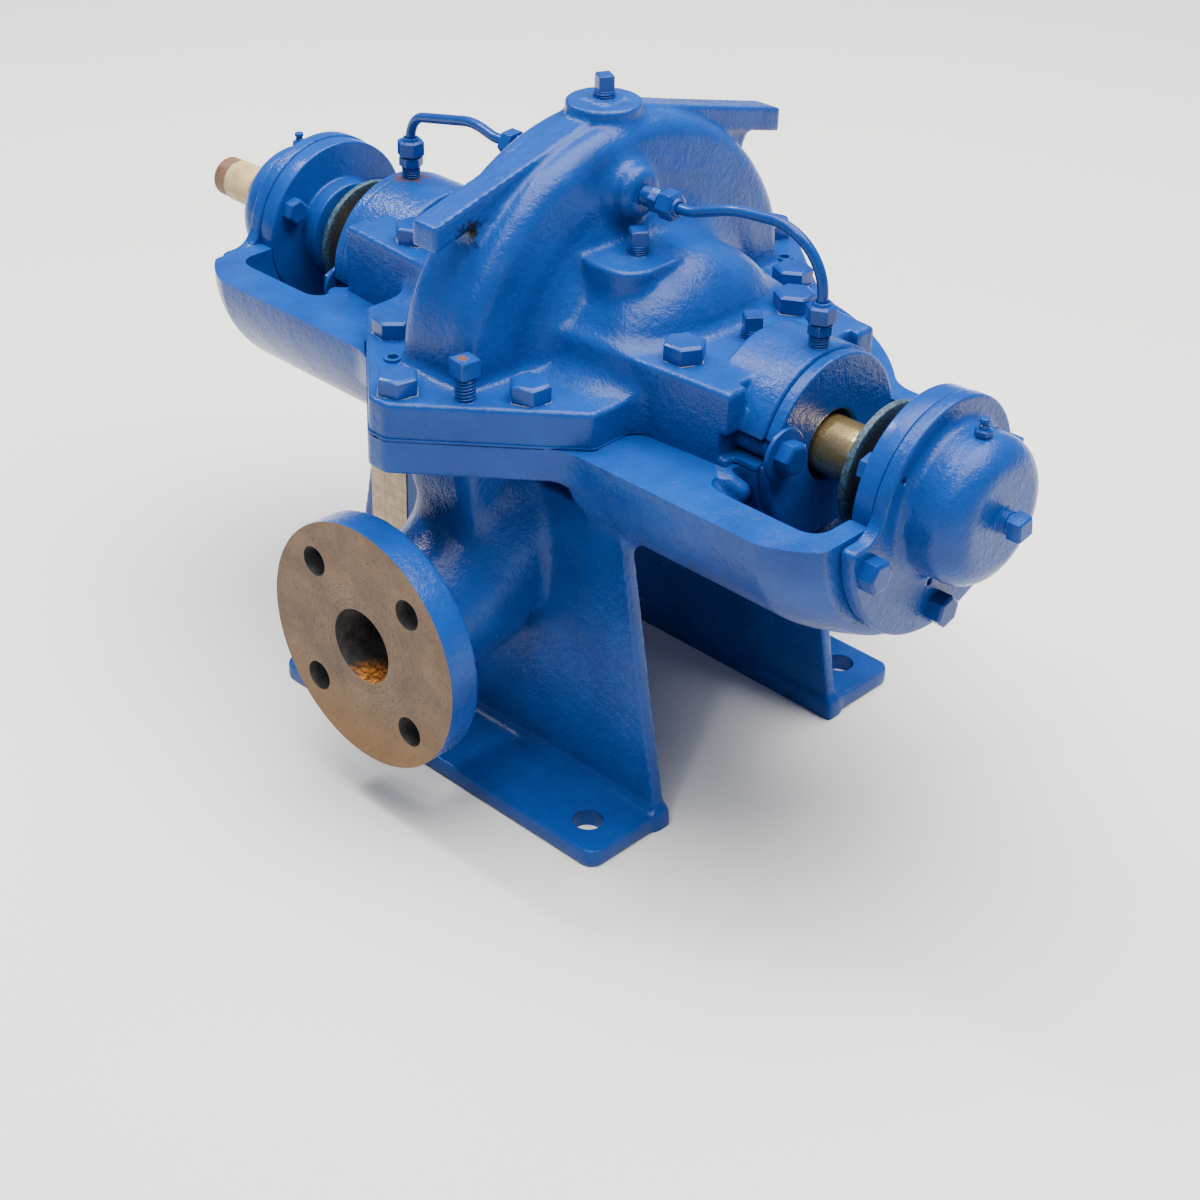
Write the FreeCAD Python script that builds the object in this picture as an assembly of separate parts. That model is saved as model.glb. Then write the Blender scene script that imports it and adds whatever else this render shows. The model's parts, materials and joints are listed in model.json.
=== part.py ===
# Split case pump: a horizontal shaft pump whose casing opens along the shaft centre.
# Frame: X along the shaft towards the capped bearing, Y across, Z up.
# The origin is on the floor, midway between the foot bolt holes. Sizes are in millimetres.

import FreeCAD, Part
import math
import os

V = FreeCAD.Vector
X_DIR = V(1, 0, 0)
Y_DIR = V(0, 1, 0)
Z_DIR = V(0, 0, 1)

# Main heights and gaps
shaft_height = 248.0
gasket_thickness = 1.0
drill_clearance = 0.4
running_gap = 0.05
edge_tolerance = 0.1
far_margin = 10.0
far_reach = 400.0

# Feet
foot_half_length = 142.0
foot_outer_y = 143.0
foot_web_y = 78.0
foot_web_thickness = 9.0
foot_plate_thickness = 11.5
foot_hole_radius = 9.5
foot_hole_x = 116.0
foot_hole_y = 120.0
foot_corner_radius = 9.0
foot_web_top_half_length = 104.0
foot_web_top_drop = 50.0

# Pipe nozzles
pipe_flange_radius = 77.8
pipe_flange_thickness = 20.6
pipe_flange_reach = 193.5
pipe_centre_drop = 134.0
pipe_bore_radius = 23.7
pipe_bolt_circle = 114.3
pipe_hole_radius = 9.5
pipe_hole_count = 4
neck_root_radius = 37.0
waterway_depth = 109.0

# Stations of each nozzle neck: distance behind the face, rise of its centre, swell over the root radius
neck_stations = ((19.6, 0.0, 0.0), (48.0, 2.0, 1.0), (84.0, 16.0, 7.0), (126.0, 46.0, 13.0))

# Split flange, seen from above as a diamond with cut corners
split_flange_thickness = 21.5
split_tip_y = 178.0
split_tip_half_width = 7.0
split_side_x = 96.0
split_shoulder_y = 102.0
split_corner_radius = 7.0
rear_ledge_x = 62.0
rear_ledge_y = 147.0
rear_ledge_mid_x = 124.0
rear_ledge_mid_y = 119.0
rear_ledge_end_x = 168.0

# Volute, a narrow wheel shape about the shaft: rim band, valley, then cheeks that widen inwards
volute_radius = 145.0
volute_half_width = 27.5
volute_edge_radius = 12.0
volute_band_depth = 31.0
volute_band_root_radius = 5.0
volute_valley_half_width = 24.0
volute_valley_depth = 40.0
volute_valley_blend = 8.0
cheek_half_width = 39.0
cheek_rise = 12.5
cheek_edge_radius = 6.0
volute_side_y = 135.0

# Suction chambers either side of the volute
chamber_radius = 82.0
chamber_root_radius = 6.0
chamber_end_x = 102.0
chamber_shoulder_radius = 40.0

# Stuffing box blocks
block_top = 44.0
block_inner_half_width = 76.0
block_end_half_width = 63.5
block_end_x = 158.0
block_edge_radius = 3.0
block_pocket_depth = 6.0
block_pocket_half_width = 48.0

# Stuffing box collars, glands and their bolts
collar_radius = 56.0
collar_start_x = 132.0
collar_end_x = 174.0
stuffing_bore_radius = 29.0
stuffing_depth = 60.0
sleeve_passage_gap = 1.0
gland_radius = 54.3
gland_thickness = 8.0
gland_seat_gap = 0.3
gland_bore_radius = 21.0
gland_nose_length = 14.0
gland_nose_clearance = 0.5
stud_radius = 6.0
stud_y = 45.0
stud_z = 11.0
stud_slot_clearance = 1.5
stud_root_gap = 2.0
stud_end_gap = 0.3
washer_radius = 16.8
washer_thickness = 2.6
gland_head_flats = 19.0
gland_head_height = 9.0

# Lifting horns and top boss
horn_half_width = 9.5
horn_depth = 14.5
horn_front_reach = 140.0
horn_back_reach = 150.0
horn_crown_rise = 7.0
horn_slope = 0.262
horn_edge_radius = 2.5
horn_web_side_inset = 2.0
horn_web_top_drop = 6.0
horn_web_tip_setback = 26.0
horn_web_tip_drop = 2.0
horn_web_foot_setback = 40.0
horn_web_foot_drop = 34.0
horn_web_root_depth = 40.0
top_boss_radius = 22.5
top_boss_rise = 7.5
top_boss_root_depth = 20.0

# Pads and bosses on the chambers
pad_top = 81.5
pad_centre_x = 50.0
pad_centre_y = 28.0
pad_half_x = 25.0
pad_half_y = 26.0
pad_corner_radius = 19.0
pad_edge_radius = 2.0
tap_boss_radius = 17.0
tap_boss_edge_radius = 8.0
tap_boss_x = 44.0
tap_boss_y = -11.0
tap_boss_inset = 35.0
tap_depth = 10.0

# Bearing arms, two troughs that carry the bearings
arm_start_x = 92.0
arm_full_x = 226.0
arm_end_x = 253.0
arm_half_width = 113.0
arm_depth = 88.0
arm_end_half_width = 94.0
arm_end_depth = 84.0
arm_rear_y = 86.0
well_start_x = 161.0
well_end_x = 240.5
well_half_width = 87.0
well_rear_half_width = 70.0
well_depth = 75.0
well_corner_radius = 14.0
well_bowl_margin = 4.0
core_skin = 4.0
lug_x = 163.0
lug_y = 77.0
lug_radius = 9.0
lug_top_drop = 6.0
lug_height = 26.0
lug_edge_radius = 4.0

# Bearing housings and covers
housing_radius = 57.0
housing_inboard_x = 240.5
housing_fit_gap = 0.2
housing_hub_radius = 32.5
housing_hub_length = 13.0
cover_gap = 0.5
cover_flange_radius = 58.0
cover_flange_thickness = 9.0
cover_foot_radius = 82.0
cap_radius = 43.5
cap_end_x = 298.0
cap_end_radius = 17.0
cap_root_radius = 5.0
cover_foot_drop = 3.0
cover_foot_blend = 12.0
cover_edge_radius = 2.0
cover_seal_gap = 1.0
cap_inner_radius = 22.0
cap_inner_gap = 4.0
bearing_bolt_flats = 19.0
bearing_bolt_head_height = 10.0
bearing_bolt_radius = 5.0
bearing_bolt_circle = 70.0
bearing_bolt_depth = 12.0
bearing_bolt_angles = (196.0, 270.0, 344.0)
housing_bolt_circle = 45.0
housing_bolt_angle = 151.0
grease_nipple_x = 279.0
nipple_stem_radius = 2.5
nipple_depth = 6.0
nipple_flats = 9.0
nipple_hex_length = 4.0
nipple_ball_radius = 3.0
nipple_height = 11.0
nipple_bore_gap = 0.2
nipple_seat_gap = 0.5
housing_bore_gap = 3.0
housing_bolt_flats = 16.0
housing_bolt_head_height = 7.0

# Rotor
shaft_radius = 14.1
shaft_tip_radius = 13.6
shaft_tip_length = 12.5
shaft_end_x = 359.5
shaft_inner_end_x = 272.0
sleeve_radius = 17.3
sleeve_start_x = 118.0
sleeve_end_x = 222.0
slinger_radius = 40.0
slinger_thickness = 4.4
slinger_hub_radius = 19.0
slinger_hub_length = 1.5
outer_slinger_x = 217.8
drive_slinger_x = 207.4
wrap_length = 36.0
wrap_thickness = 0.4

# Casing fasteners
casing_bolt_radius = 7.0
casing_bolt_flats = 22.0
casing_bolt_head_height = 11.0
casing_bolt_grip = 14.0
bolt_end_gap = 1.0
tip_bolt_y = 161.0
side_bolt_x = 57.0
side_bolt_y = 113.5
block_bolt_x = 111.0
block_bolt_y = 47.5
jackscrew_x = 33.0
jackscrew_y = 140.5
jackscrew_radius = 6.0
jackscrew_stand = 15.0
jackscrew_head_flats = 15.5
jackscrew_head_height = 11.0
jackscrew_turn = 12.0
dowel_x = 31.0
dowel_y = 137.0
dowel_hole_radius = 4.2

# Square head plugs
plug_thread_radius = 6.6
plug_thread_stand = 5.5
plug_head_flats = 10.5
plug_head_height = 9.5
plug_tap_depth = 9.0
plug_end_gap = 0.5
top_plug_turn = 35.0
pad_plug_turn = 10.0
block_plug_turn = 5.0
end_plug_flats = 11.5
end_plug_head_height = 11.0
end_plug_turn = 20.0
block_plug_x = 119.5
pad_plug_x = 53.0
pad_plug_y = 25.0

# Flush tubes and their fittings
tube_radius = 3.2
tube_fit_gap = 0.3
tube_end_depth = 4.0
fitting_thread_radius = 6.0
fitting_thread_length = 8.0
fitting_thread_depth = 8.0
fitting_neck_radius = 5.0
fitting_neck_length = 0.8
fitting_hex_flats = 13.5
fitting_hex_length = 6.5
fitting_nut_flats = 15.5
fitting_nut_length = 12.0
collar_tap_x = 167.0

# Bends of each flush tube. The first is level with the volute fitting, a straight length past it.
# The last stands above the collar fitting, and the middle one rises above the mean of those two.
outer_tube_straight = 8.0
outer_tube_first_radius = 30.0
outer_tube_middle_reach = 36.7
outer_tube_middle_rise = 3.5
outer_tube_middle_radius = 60.0
outer_tube_last_stand = 39.5
outer_tube_last_radius = 36.0
drive_tube_straight = 9.0
drive_tube_first_radius = 30.0
drive_tube_middle_reach = 30.0
drive_tube_middle_rise = 10.0
drive_tube_middle_radius = 50.0
drive_tube_last_stand = 13.5
drive_tube_last_radius = 19.0

# Nameplate
plate_thickness = 1.0
plate_width = 33.0
plate_height = 62.0
plate_centre_x = 95.0
plate_centre_drop = 118.0

# Places that follow from the sizes above
top_boss_top = volute_radius + top_boss_rise
tap_boss_z = volute_radius - tap_boss_inset
wrap_start_x = shaft_end_x - shaft_tip_length - wrap_length


def box(x0, x1, y0, y1, z0, z1):
    return Part.makeBox(x1 - x0, y1 - y0, z1 - z0, V(x0, y0, z0))


def rod(radius, start, direction, length):
    return Part.makeCylinder(radius, length, start, direction)


def prism_z(outline, z0, z1):
    """Extrude a closed outline of (x, y) points upwards."""
    wire = Part.makePolygon([V(x, y, z0) for x, y in outline + outline[:1]])
    return Part.Face(wire).extrude(V(0, 0, z1 - z0))


def prism_x(outline, x0, x1):
    """Extrude a closed outline of (y, z) points along the shaft."""
    wire = Part.makePolygon([V(x0, y, z) for y, z in outline + outline[:1]])
    return Part.Face(wire).extrude(V(x1 - x0, 0, 0))


def hexagon(flats, start, direction, length):
    """A six sided head standing on start."""
    corner = flats / math.sqrt(3.0)
    ring = [V(corner * math.cos(math.radians(60.0 * i)), corner * math.sin(math.radians(60.0 * i)), 0)
            for i in range(6)]
    solid = Part.Face(Part.makePolygon(ring + ring[:1])).extrude(V(0, 0, length))
    solid.Placement = FreeCAD.Placement(start, FreeCAD.Rotation(Z_DIR, direction))
    return solid


def square(flats, start, direction, length, turn=0.0):
    """A four sided head standing on start, turned about its own axis."""
    half = flats / 2.0
    solid = Part.makeBox(flats, flats, length, V(-half, -half, 0))
    spin = FreeCAD.Rotation(Z_DIR, turn)
    solid.Placement = FreeCAD.Placement(start, FreeCAD.Rotation(Z_DIR, direction).multiply(spin))
    return solid


def fuse(pieces):
    """Join overlapping solids into one."""
    return pieces[0].multiFuse(pieces[1:]).removeSplitter()


def upper_half(solid):
    """The part of a solid above the gasket."""
    reach = far_reach
    return solid.common(box(-reach, reach, -reach, reach, gasket_thickness / 2.0, reach))


def lower_half(solid):
    """The part of a solid below the gasket."""
    reach = far_reach
    return solid.common(box(-reach, reach, -reach, reach, -reach, -gasket_thickness / 2.0))


def mirror_x(solid):
    return solid.mirror(V(0, 0, 0), X_DIR)


def fillet_where(solid, radius, test):
    """Round the edges whose centre passes the test."""
    chosen = [edge for edge in solid.Edges if test(edge)]
    return solid.makeFillet(radius, chosen)


def is_vertical(edge):
    box_of_edge = edge.BoundBox
    return box_of_edge.ZLength > 0.5 and box_of_edge.XLength < 0.01 and box_of_edge.YLength < 0.01


def revolve_profile(edges):
    """Turn a closed outline in the X-Z plane round the shaft."""
    wire = Part.Wire(edges)
    return Part.Face(wire).revolve(V(0, 0, 0), X_DIR, 360.0)


def split_outline():
    """The diamond that both casing halves share."""
    front = [(-split_tip_half_width, -split_tip_y), (split_tip_half_width, -split_tip_y),
             (split_side_x, -split_shoulder_y)]
    back = [(split_side_x, split_shoulder_y), (split_tip_half_width, split_tip_y),
            (-split_tip_half_width, split_tip_y), (-split_side_x, split_shoulder_y)]
    return front + back + [(-split_side_x, -split_shoulder_y)]


def split_plate(z0, z1):
    plate = prism_z(split_outline(), z0, z1)
    return fillet_where(plate, split_corner_radius, is_vertical)


def block_outline():
    inner = block_inner_half_width
    end = block_end_half_width
    return [(-block_end_x, -end), (0.0, -inner), (block_end_x, -end),
            (block_end_x, end), (0.0, inner), (-block_end_x, end)]


def corner_arc(before, corner, after, radius):
    """Start, middle and end of the arc that rounds a corner between two straight runs."""
    back = (before - corner).normalize()
    ahead = (after - corner).normalize()
    half = back.getAngle(ahead) / 2.0
    reach = radius / math.tan(half)
    inwards = (back + ahead).normalize()
    middle = corner + inwards * (radius / math.sin(half) - radius)
    return corner + back * reach, middle, corner + ahead * reach


def rounded_outline(points):
    """Closed outline of (x, radius, corner radius) points, with an arc at each corner that has one."""
    places = [V(x, 0, r) for x, r, _ in points]
    edges = []
    ends = []
    for i, (_, _, corner) in enumerate(points):
        if corner > 0.0:
            arc = corner_arc(places[i - 1], places[i], places[(i + 1) % len(places)], corner)
            edges.append(Part.Arc(*arc).toShape())
            ends.append((arc[0], arc[2]))
        else:
            ends.append((places[i], places[i]))
    for i, (_, leave) in enumerate(ends):
        edges.append(Part.makeLine(leave, ends[(i + 1) % len(ends)][0]))
    return Part.__sortEdges__(edges)


def both_sides(points):
    """Outline points for +X, repeated in reverse for -X and closed along the shaft."""
    return points + [(-x, r, corner) for x, r, corner in reversed(points)]


def turned_body():
    """Volute and suction chambers in one turning about the shaft, with their blends."""
    points = [(chamber_end_x, 0.0, 0.0),
              (chamber_end_x, chamber_radius, chamber_shoulder_radius),
              (cheek_half_width, chamber_radius, chamber_root_radius),
              (cheek_half_width, chamber_radius + cheek_rise, cheek_edge_radius),
              (volute_valley_half_width, volute_radius - volute_valley_depth, volute_valley_blend),
              (volute_half_width, volute_radius - volute_band_depth, volute_band_root_radius),
              (volute_half_width, volute_radius, volute_edge_radius)]
    body = revolve_profile(rounded_outline(both_sides(points)))
    reach = volute_radius + far_margin
    return body.common(box(-reach, reach, -volute_side_y, volute_side_y, -reach, reach))


def stuffing_block():
    """The flat topped block through which the casing bolts pass."""
    block = prism_z(block_outline(), 0.0, block_top)

    def rim(edge):
        centre = edge.CenterOfMass
        at_corner = is_vertical(edge) and abs(centre.x) > edge_tolerance
        return at_corner or abs(centre.z - block_top) < edge_tolerance
    return fillet_where(block, block_edge_radius, rim)


def pocketed_block():
    """Block with the step in each end round the collar."""
    cuts = []
    for side in (-1.0, 1.0):
        x0, x1 = sorted((side * (block_end_x - block_pocket_depth), side * (block_end_x + far_margin)))
        cuts.append(box(x0, x1, -block_pocket_half_width, block_pocket_half_width,
                        -far_margin, block_top + far_margin))
    return stuffing_block().cut(cuts)


def horn(reach, side):
    """One lifting horn, a sloping bar that leaves the top boss towards side."""
    root_z = volute_radius + horn_crown_rise
    tip_z = root_z - horn_slope * reach
    outline = [(0.0, root_z), (side * reach, tip_z), (side * reach, tip_z - horn_depth),
               (0.0, root_z - horn_depth)]
    bar = prism_x(outline, -horn_half_width, horn_half_width)
    web_outline = [(0.0, root_z - horn_web_top_drop),
                   (side * (reach - horn_web_tip_setback), tip_z - horn_web_tip_drop),
                   (side * (reach - horn_web_foot_setback), tip_z - horn_web_foot_drop),
                   (0.0, volute_radius - horn_web_root_depth)]
    web_half_width = horn_half_width - horn_web_side_inset
    web = prism_x(web_outline, -web_half_width, web_half_width)

    def long_edges(edge):
        near_tip = abs(edge.CenterOfMass.y) > reach - edge_tolerance
        return near_tip or edge.BoundBox.YLength > reach - edge_tolerance
    return fuse([fillet_where(bar, horn_edge_radius, long_edges), web])


def chamber_pad(side):
    """Raised pad with round corners that takes a vent plug."""
    pad = box(pad_centre_x - pad_half_x, pad_centre_x + pad_half_x,
              -pad_centre_y - pad_half_y, -pad_centre_y + pad_half_y, block_top, pad_top)
    pad = fillet_where(pad, pad_corner_radius, is_vertical)
    level = pad_top - edge_tolerance
    pad = fillet_where(pad, pad_edge_radius, lambda edge: edge.CenterOfMass.z > level)
    return pad if side > 0 else mirror_x(pad)


def tap_boss(side):
    """Domed boss on the volute face for the flush tube fitting."""
    boss = rod(tap_boss_radius, V(0, tap_boss_y, tap_boss_z), X_DIR, tap_boss_x)

    def outer_rim(edge):
        return abs(edge.CenterOfMass.x - tap_boss_x) < edge_tolerance
    boss = fillet_where(boss, tap_boss_edge_radius, outer_rim)
    return boss if side > 0 else mirror_x(boss)


def stud_level(side_x, side_y):
    """Height of a gland stud; each gland has one above the split and one below."""
    return -side_x * side_y * stud_z


def stud_slot(side_x, side_y):
    """Open slot through the collar and gland for a gland stud."""
    half = stud_radius + stud_slot_clearance
    level = stud_level(side_x, side_y)
    x0 = block_end_x + stud_root_gap
    x1 = collar_end_x + gland_seat_gap + gland_thickness + far_margin
    y0 = stud_y - half
    y1 = collar_radius + washer_radius
    slot = box(x0, x1, y0, y1, level - half, level + half)
    rounded = rod(half, V(x0, y0, level), X_DIR, x1 - x0)
    slot = slot.fuse(rounded)
    if side_y < 0:
        slot = slot.mirror(V(0, 0, 0), Y_DIR)
    return slot if side_x > 0 else mirror_x(slot)


def casing_bolt_places():
    """Centres of the hexagon bolts with the height of the face each head sits on."""
    places = [(0.0, side * tip_bolt_y, split_flange_thickness) for side in (-1.0, 1.0)]
    for sx in (-1.0, 1.0):
        for sy in (-1.0, 1.0):
            places.append((sx * side_bolt_x, sy * side_bolt_y, split_flange_thickness))
            places.append((sx * block_bolt_x, sy * block_bolt_y, block_top))
    return places


def shaft_core(radius):
    return rod(radius, V(-far_reach, 0, 0), X_DIR, 2.0 * far_reach)


def stuffing_bores():
    bores = []
    for side in (-1.0, 1.0):
        start = V(side * (collar_end_x - stuffing_depth), 0, 0)
        bores.append(rod(stuffing_bore_radius, start, V(side, 0, 0), stuffing_depth + far_margin))
    return bores


def plug_hole(x, y, seat):
    """Tapped hole for a square head plug that seats at a height."""
    return rod(plug_thread_radius + drill_clearance, V(x, y, seat - plug_tap_depth), Z_DIR, far_reach)


def collars():
    """Round stuffing boxes that stand out of the casing ends."""
    length = collar_end_x - collar_start_x
    sides = (-1.0, 1.0)
    return [rod(collar_radius, V(side * collar_start_x, 0, 0), V(side, 0, 0), length) for side in sides]


def make_upper_casing():
    top_boss = rod(top_boss_radius, V(0, 0, volute_radius - top_boss_root_depth), Z_DIR,
                   top_boss_root_depth + top_boss_rise)
    body = fuse([split_plate(0.0, split_flange_thickness + gasket_thickness / 2.0), turned_body(),
                 pocketed_block(), top_boss,
                 horn(horn_front_reach, -1.0), horn(horn_back_reach, 1.0),
                 chamber_pad(1.0), chamber_pad(-1.0), tap_boss(1.0), tap_boss(-1.0)] + collars())
    body = upper_half(body)
    cuts = stuffing_bores() + [shaft_core(sleeve_radius + sleeve_passage_gap)]
    cuts += [stud_slot(side, -side) for side in (-1.0, 1.0)]
    for x, y, top in casing_bolt_places():
        cuts.append(rod(casing_bolt_radius + drill_clearance, V(x, y, 0), Z_DIR, far_reach))
    for sign in (-1.0, 1.0):
        cuts.append(rod(jackscrew_radius + drill_clearance, V(-sign * jackscrew_x, sign * jackscrew_y, 0),
                        Z_DIR, split_flange_thickness + far_margin))
        cuts.append(rod(dowel_hole_radius, V(sign * dowel_x, sign * dowel_y, 0), Z_DIR,
                        split_flange_thickness + far_margin))
        cuts.append(rod(fitting_thread_radius + drill_clearance,
                        V(sign * collar_tap_x, 0, collar_radius - tap_depth), Z_DIR, far_reach))
        tap_start = V(sign * (tap_boss_x - tap_depth), tap_boss_y, tap_boss_z)
        cuts.append(rod(fitting_thread_radius + drill_clearance, tap_start, V(sign, 0, 0), far_reach))
        cuts.append(plug_hole(sign * block_plug_x, 0.0, block_top))
        cuts.append(plug_hole(sign * pad_plug_x, -pad_plug_y, pad_top))
    cuts.append(plug_hole(0.0, 0.0, top_boss_top))
    return body.cut(cuts)


def half_ellipse(x, half_width, depth):
    """Lower half of an ellipse in the plane at x, closed along the top."""
    ellipse = Part.Ellipse(V(x, half_width, 0), V(x, 0, -depth), V(x, 0, 0))
    arc = Part.Arc(ellipse, 0.0, math.pi).toShape()
    closing = Part.makeLine(arc.Vertexes[-1].Point, arc.Vertexes[0].Point)
    return Part.Wire([arc, closing])


def arm_body(side):
    """One bearing arm: a trough of half elliptic section, narrower at its end."""
    straight = Part.Face(half_ellipse(arm_start_x, arm_half_width, arm_depth))
    straight = straight.extrude(V(arm_full_x - arm_start_x, 0, 0))
    taper = Part.makeLoft([half_ellipse(arm_full_x, arm_half_width, arm_depth),
                           half_ellipse(arm_end_x, arm_end_half_width, arm_end_depth)], True, True)
    body = straight.fuse(taper)
    body = body.common(box(0.0, far_reach, -far_reach, arm_rear_y, -far_reach, 0.0))
    return body if side > 0 else mirror_x(body)


def arm_well(side):
    """The open well round the gland, with round corners."""
    well = box(well_start_x, well_end_x, -well_half_width, well_rear_half_width, -well_depth, far_margin)
    well = fillet_where(well, well_corner_radius, is_vertical)
    x0 = well_start_x - far_margin
    x1 = well_end_x + far_margin
    bowl = Part.Face(half_ellipse(x0, well_half_width + well_bowl_margin, well_depth))
    bowl = bowl.extrude(V(x1 - x0, 0, 0))
    above = box(x0, x1, -far_reach, far_reach, -gasket_thickness, far_reach)
    well = well.common(bowl.fuse(above))
    return well if side > 0 else mirror_x(well)


def well_lugs():
    """Rough cast lug in the front corner of each well."""
    lug = rod(lug_radius, V(lug_x, -lug_y, -lug_top_drop - lug_height), Z_DIR, lug_height)
    top_level = -lug_top_drop - edge_tolerance
    lug = fillet_where(lug, lug_edge_radius, lambda edge: edge.CenterOfMass.z > top_level)
    return [lug, mirror_x(lug)]


def rear_ledge():
    """The wider rear edge of the lower flange, curved in plan."""
    z0 = -split_flange_thickness - gasket_thickness / 2.0
    right = Part.Arc(V(rear_ledge_x, rear_ledge_y, z0), V(rear_ledge_mid_x, rear_ledge_mid_y, z0),
                     V(rear_ledge_end_x, arm_rear_y, z0)).toShape()
    left = Part.Arc(V(-rear_ledge_x, rear_ledge_y, z0), V(-rear_ledge_mid_x, rear_ledge_mid_y, z0),
                    V(-rear_ledge_end_x, arm_rear_y, z0)).toShape()
    corners = [V(rear_ledge_end_x, arm_rear_y, z0), V(rear_ledge_end_x, 0, z0),
               V(-rear_ledge_end_x, 0, z0), V(-rear_ledge_end_x, arm_rear_y, z0)]
    lines = [Part.makeLine(a, b) for a, b in zip(corners, corners[1:])]
    rear = Part.makeLine(V(-rear_ledge_x, rear_ledge_y, z0), V(rear_ledge_x, rear_ledge_y, z0))
    wire = Part.Wire(Part.__sortEdges__([right, left, rear] + lines))
    return Part.Face(wire).extrude(V(0, 0, -z0))


def pipe_neck(side):
    """Nozzle neck that swells from the pipe flange into the volute."""
    rings = []
    for behind, rise, swell in neck_stations:
        centre = V(0, side * (pipe_flange_reach - behind), rise - pipe_centre_drop)
        rings.append(Part.Wire([Part.makeCircle(neck_root_radius + swell, centre, Y_DIR)]))
    return Part.makeLoft(rings, True, False)


def pipe_flange(side):
    start = V(0, side * (pipe_flange_reach - pipe_flange_thickness), -pipe_centre_drop)
    return rod(pipe_flange_radius, start, V(0, side, 0), pipe_flange_thickness)


def pipe_cuts(side):
    """Bolt holes and the straight part of the waterway of one nozzle."""
    outside_y = side * (pipe_flange_reach + far_margin)
    inward = V(0, -side, 0)
    cuts = [rod(pipe_bore_radius, V(0, outside_y, -pipe_centre_drop), inward, waterway_depth + far_margin)]
    for i in range(pipe_hole_count):
        angle = math.radians(360.0 / pipe_hole_count * (i + 0.5))
        x = pipe_bolt_circle / 2.0 * math.cos(angle)
        z = pipe_bolt_circle / 2.0 * math.sin(angle) - pipe_centre_drop
        cuts.append(rod(pipe_hole_radius, V(x, outside_y, z), inward,
                        pipe_flange_thickness + 2.0 * far_margin))
    return cuts


def foot(side):
    """Upright web with a plate turned outwards at the floor."""
    web_outline = [(-foot_half_length, -shaft_height), (foot_half_length, -shaft_height),
                   (foot_web_top_half_length, -foot_web_top_drop),
                   (-foot_web_top_half_length, -foot_web_top_drop)]
    wire = Part.makePolygon([V(x, foot_web_y, z) for x, z in web_outline + web_outline[:1]])
    web = Part.Face(wire).extrude(V(0, foot_web_thickness, 0))
    plate = box(-foot_half_length, foot_half_length, foot_web_y, foot_outer_y,
                -shaft_height, -shaft_height + foot_plate_thickness)

    def outer_corner(edge):
        return is_vertical(edge) and edge.CenterOfMass.y > foot_outer_y - edge_tolerance
    plate = fillet_where(plate, foot_corner_radius, outer_corner)
    body = fuse([web, plate])
    return body if side > 0 else body.mirror(V(0, 0, 0), Y_DIR)


def foot_holes():
    holes = []
    for sx in (-1.0, 1.0):
        for sy in (-1.0, 1.0):
            start = V(sx * foot_hole_x, sy * foot_hole_y, -shaft_height - far_margin)
            holes.append(rod(foot_hole_radius, start, Z_DIR, foot_plate_thickness + 2.0 * far_margin))
    return holes


def make_lower_casing():
    plate = split_plate(-split_flange_thickness - gasket_thickness / 2.0, 0.0)
    arms = []
    for side in (-1.0, 1.0):
        arms.append(arm_body(side).cut(arm_well(side)))
    core = prism_z([(-well_start_x, -block_inner_half_width), (well_start_x, -block_inner_half_width),
                    (well_start_x, block_inner_half_width), (-well_start_x, block_inner_half_width)],
                   -well_depth, 0.0)
    core = core.common(rod(well_depth + core_skin, V(-well_start_x, 0, 0), X_DIR, 2.0 * well_start_x))
    body = fuse([plate, rear_ledge(), turned_body(), core,
                 pipe_neck(1.0), pipe_neck(-1.0), pipe_flange(1.0), pipe_flange(-1.0),
                 foot(1.0), foot(-1.0)] + collars() + well_lugs() + arms)
    body = lower_half(body)
    cuts = stuffing_bores() + [shaft_core(sleeve_radius + sleeve_passage_gap)] + foot_holes()
    cuts += pipe_cuts(1.0) + pipe_cuts(-1.0)
    cuts += [stud_slot(side, side) for side in (-1.0, 1.0)]
    for side in (-1.0, 1.0):
        start = V(side * (housing_inboard_x - far_margin), 0, 0)
        cuts.append(rod(housing_radius + housing_fit_gap, start, V(side, 0, 0), far_reach))
    for x, y, _ in casing_bolt_places():
        start = V(x, y, -casing_bolt_grip - bolt_end_gap)
        cuts.append(rod(casing_bolt_radius + drill_clearance, start, Z_DIR, far_reach))
    cuts += [rod(bearing_bolt_radius + drill_clearance, start, direction, far_reach)
             for start, direction in bearing_bolt_holes()]
    return body.cut(cuts)


def bearing_bolt_holes():
    """Axes of the tapped holes in the arm ends, each pointing outwards."""
    holes = []
    for side in (-1.0, 1.0):
        for angle in bearing_bolt_angles:
            y = bearing_bolt_circle * math.cos(math.radians(angle))
            z = bearing_bolt_circle * math.sin(math.radians(angle))
            holes.append((V(side * (arm_end_x - bearing_bolt_depth), y, z), V(side, 0, 0)))
    return holes


def make_gasket():
    plate = prism_z(split_outline(), -gasket_thickness / 2.0, gasket_thickness / 2.0)
    plate = fillet_where(plate, split_corner_radius, is_vertical)
    strip = prism_z(block_outline(), -gasket_thickness / 2.0, gasket_thickness / 2.0)
    cuts = stuffing_bores() + [shaft_core(sleeve_radius + sleeve_passage_gap)]
    for x, y, _ in casing_bolt_places():
        start = V(x, y, -far_margin)
        cuts.append(rod(casing_bolt_radius + drill_clearance, start, Z_DIR, 2.0 * far_margin))
    return fuse([plate, strip]).cut(cuts)


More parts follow.
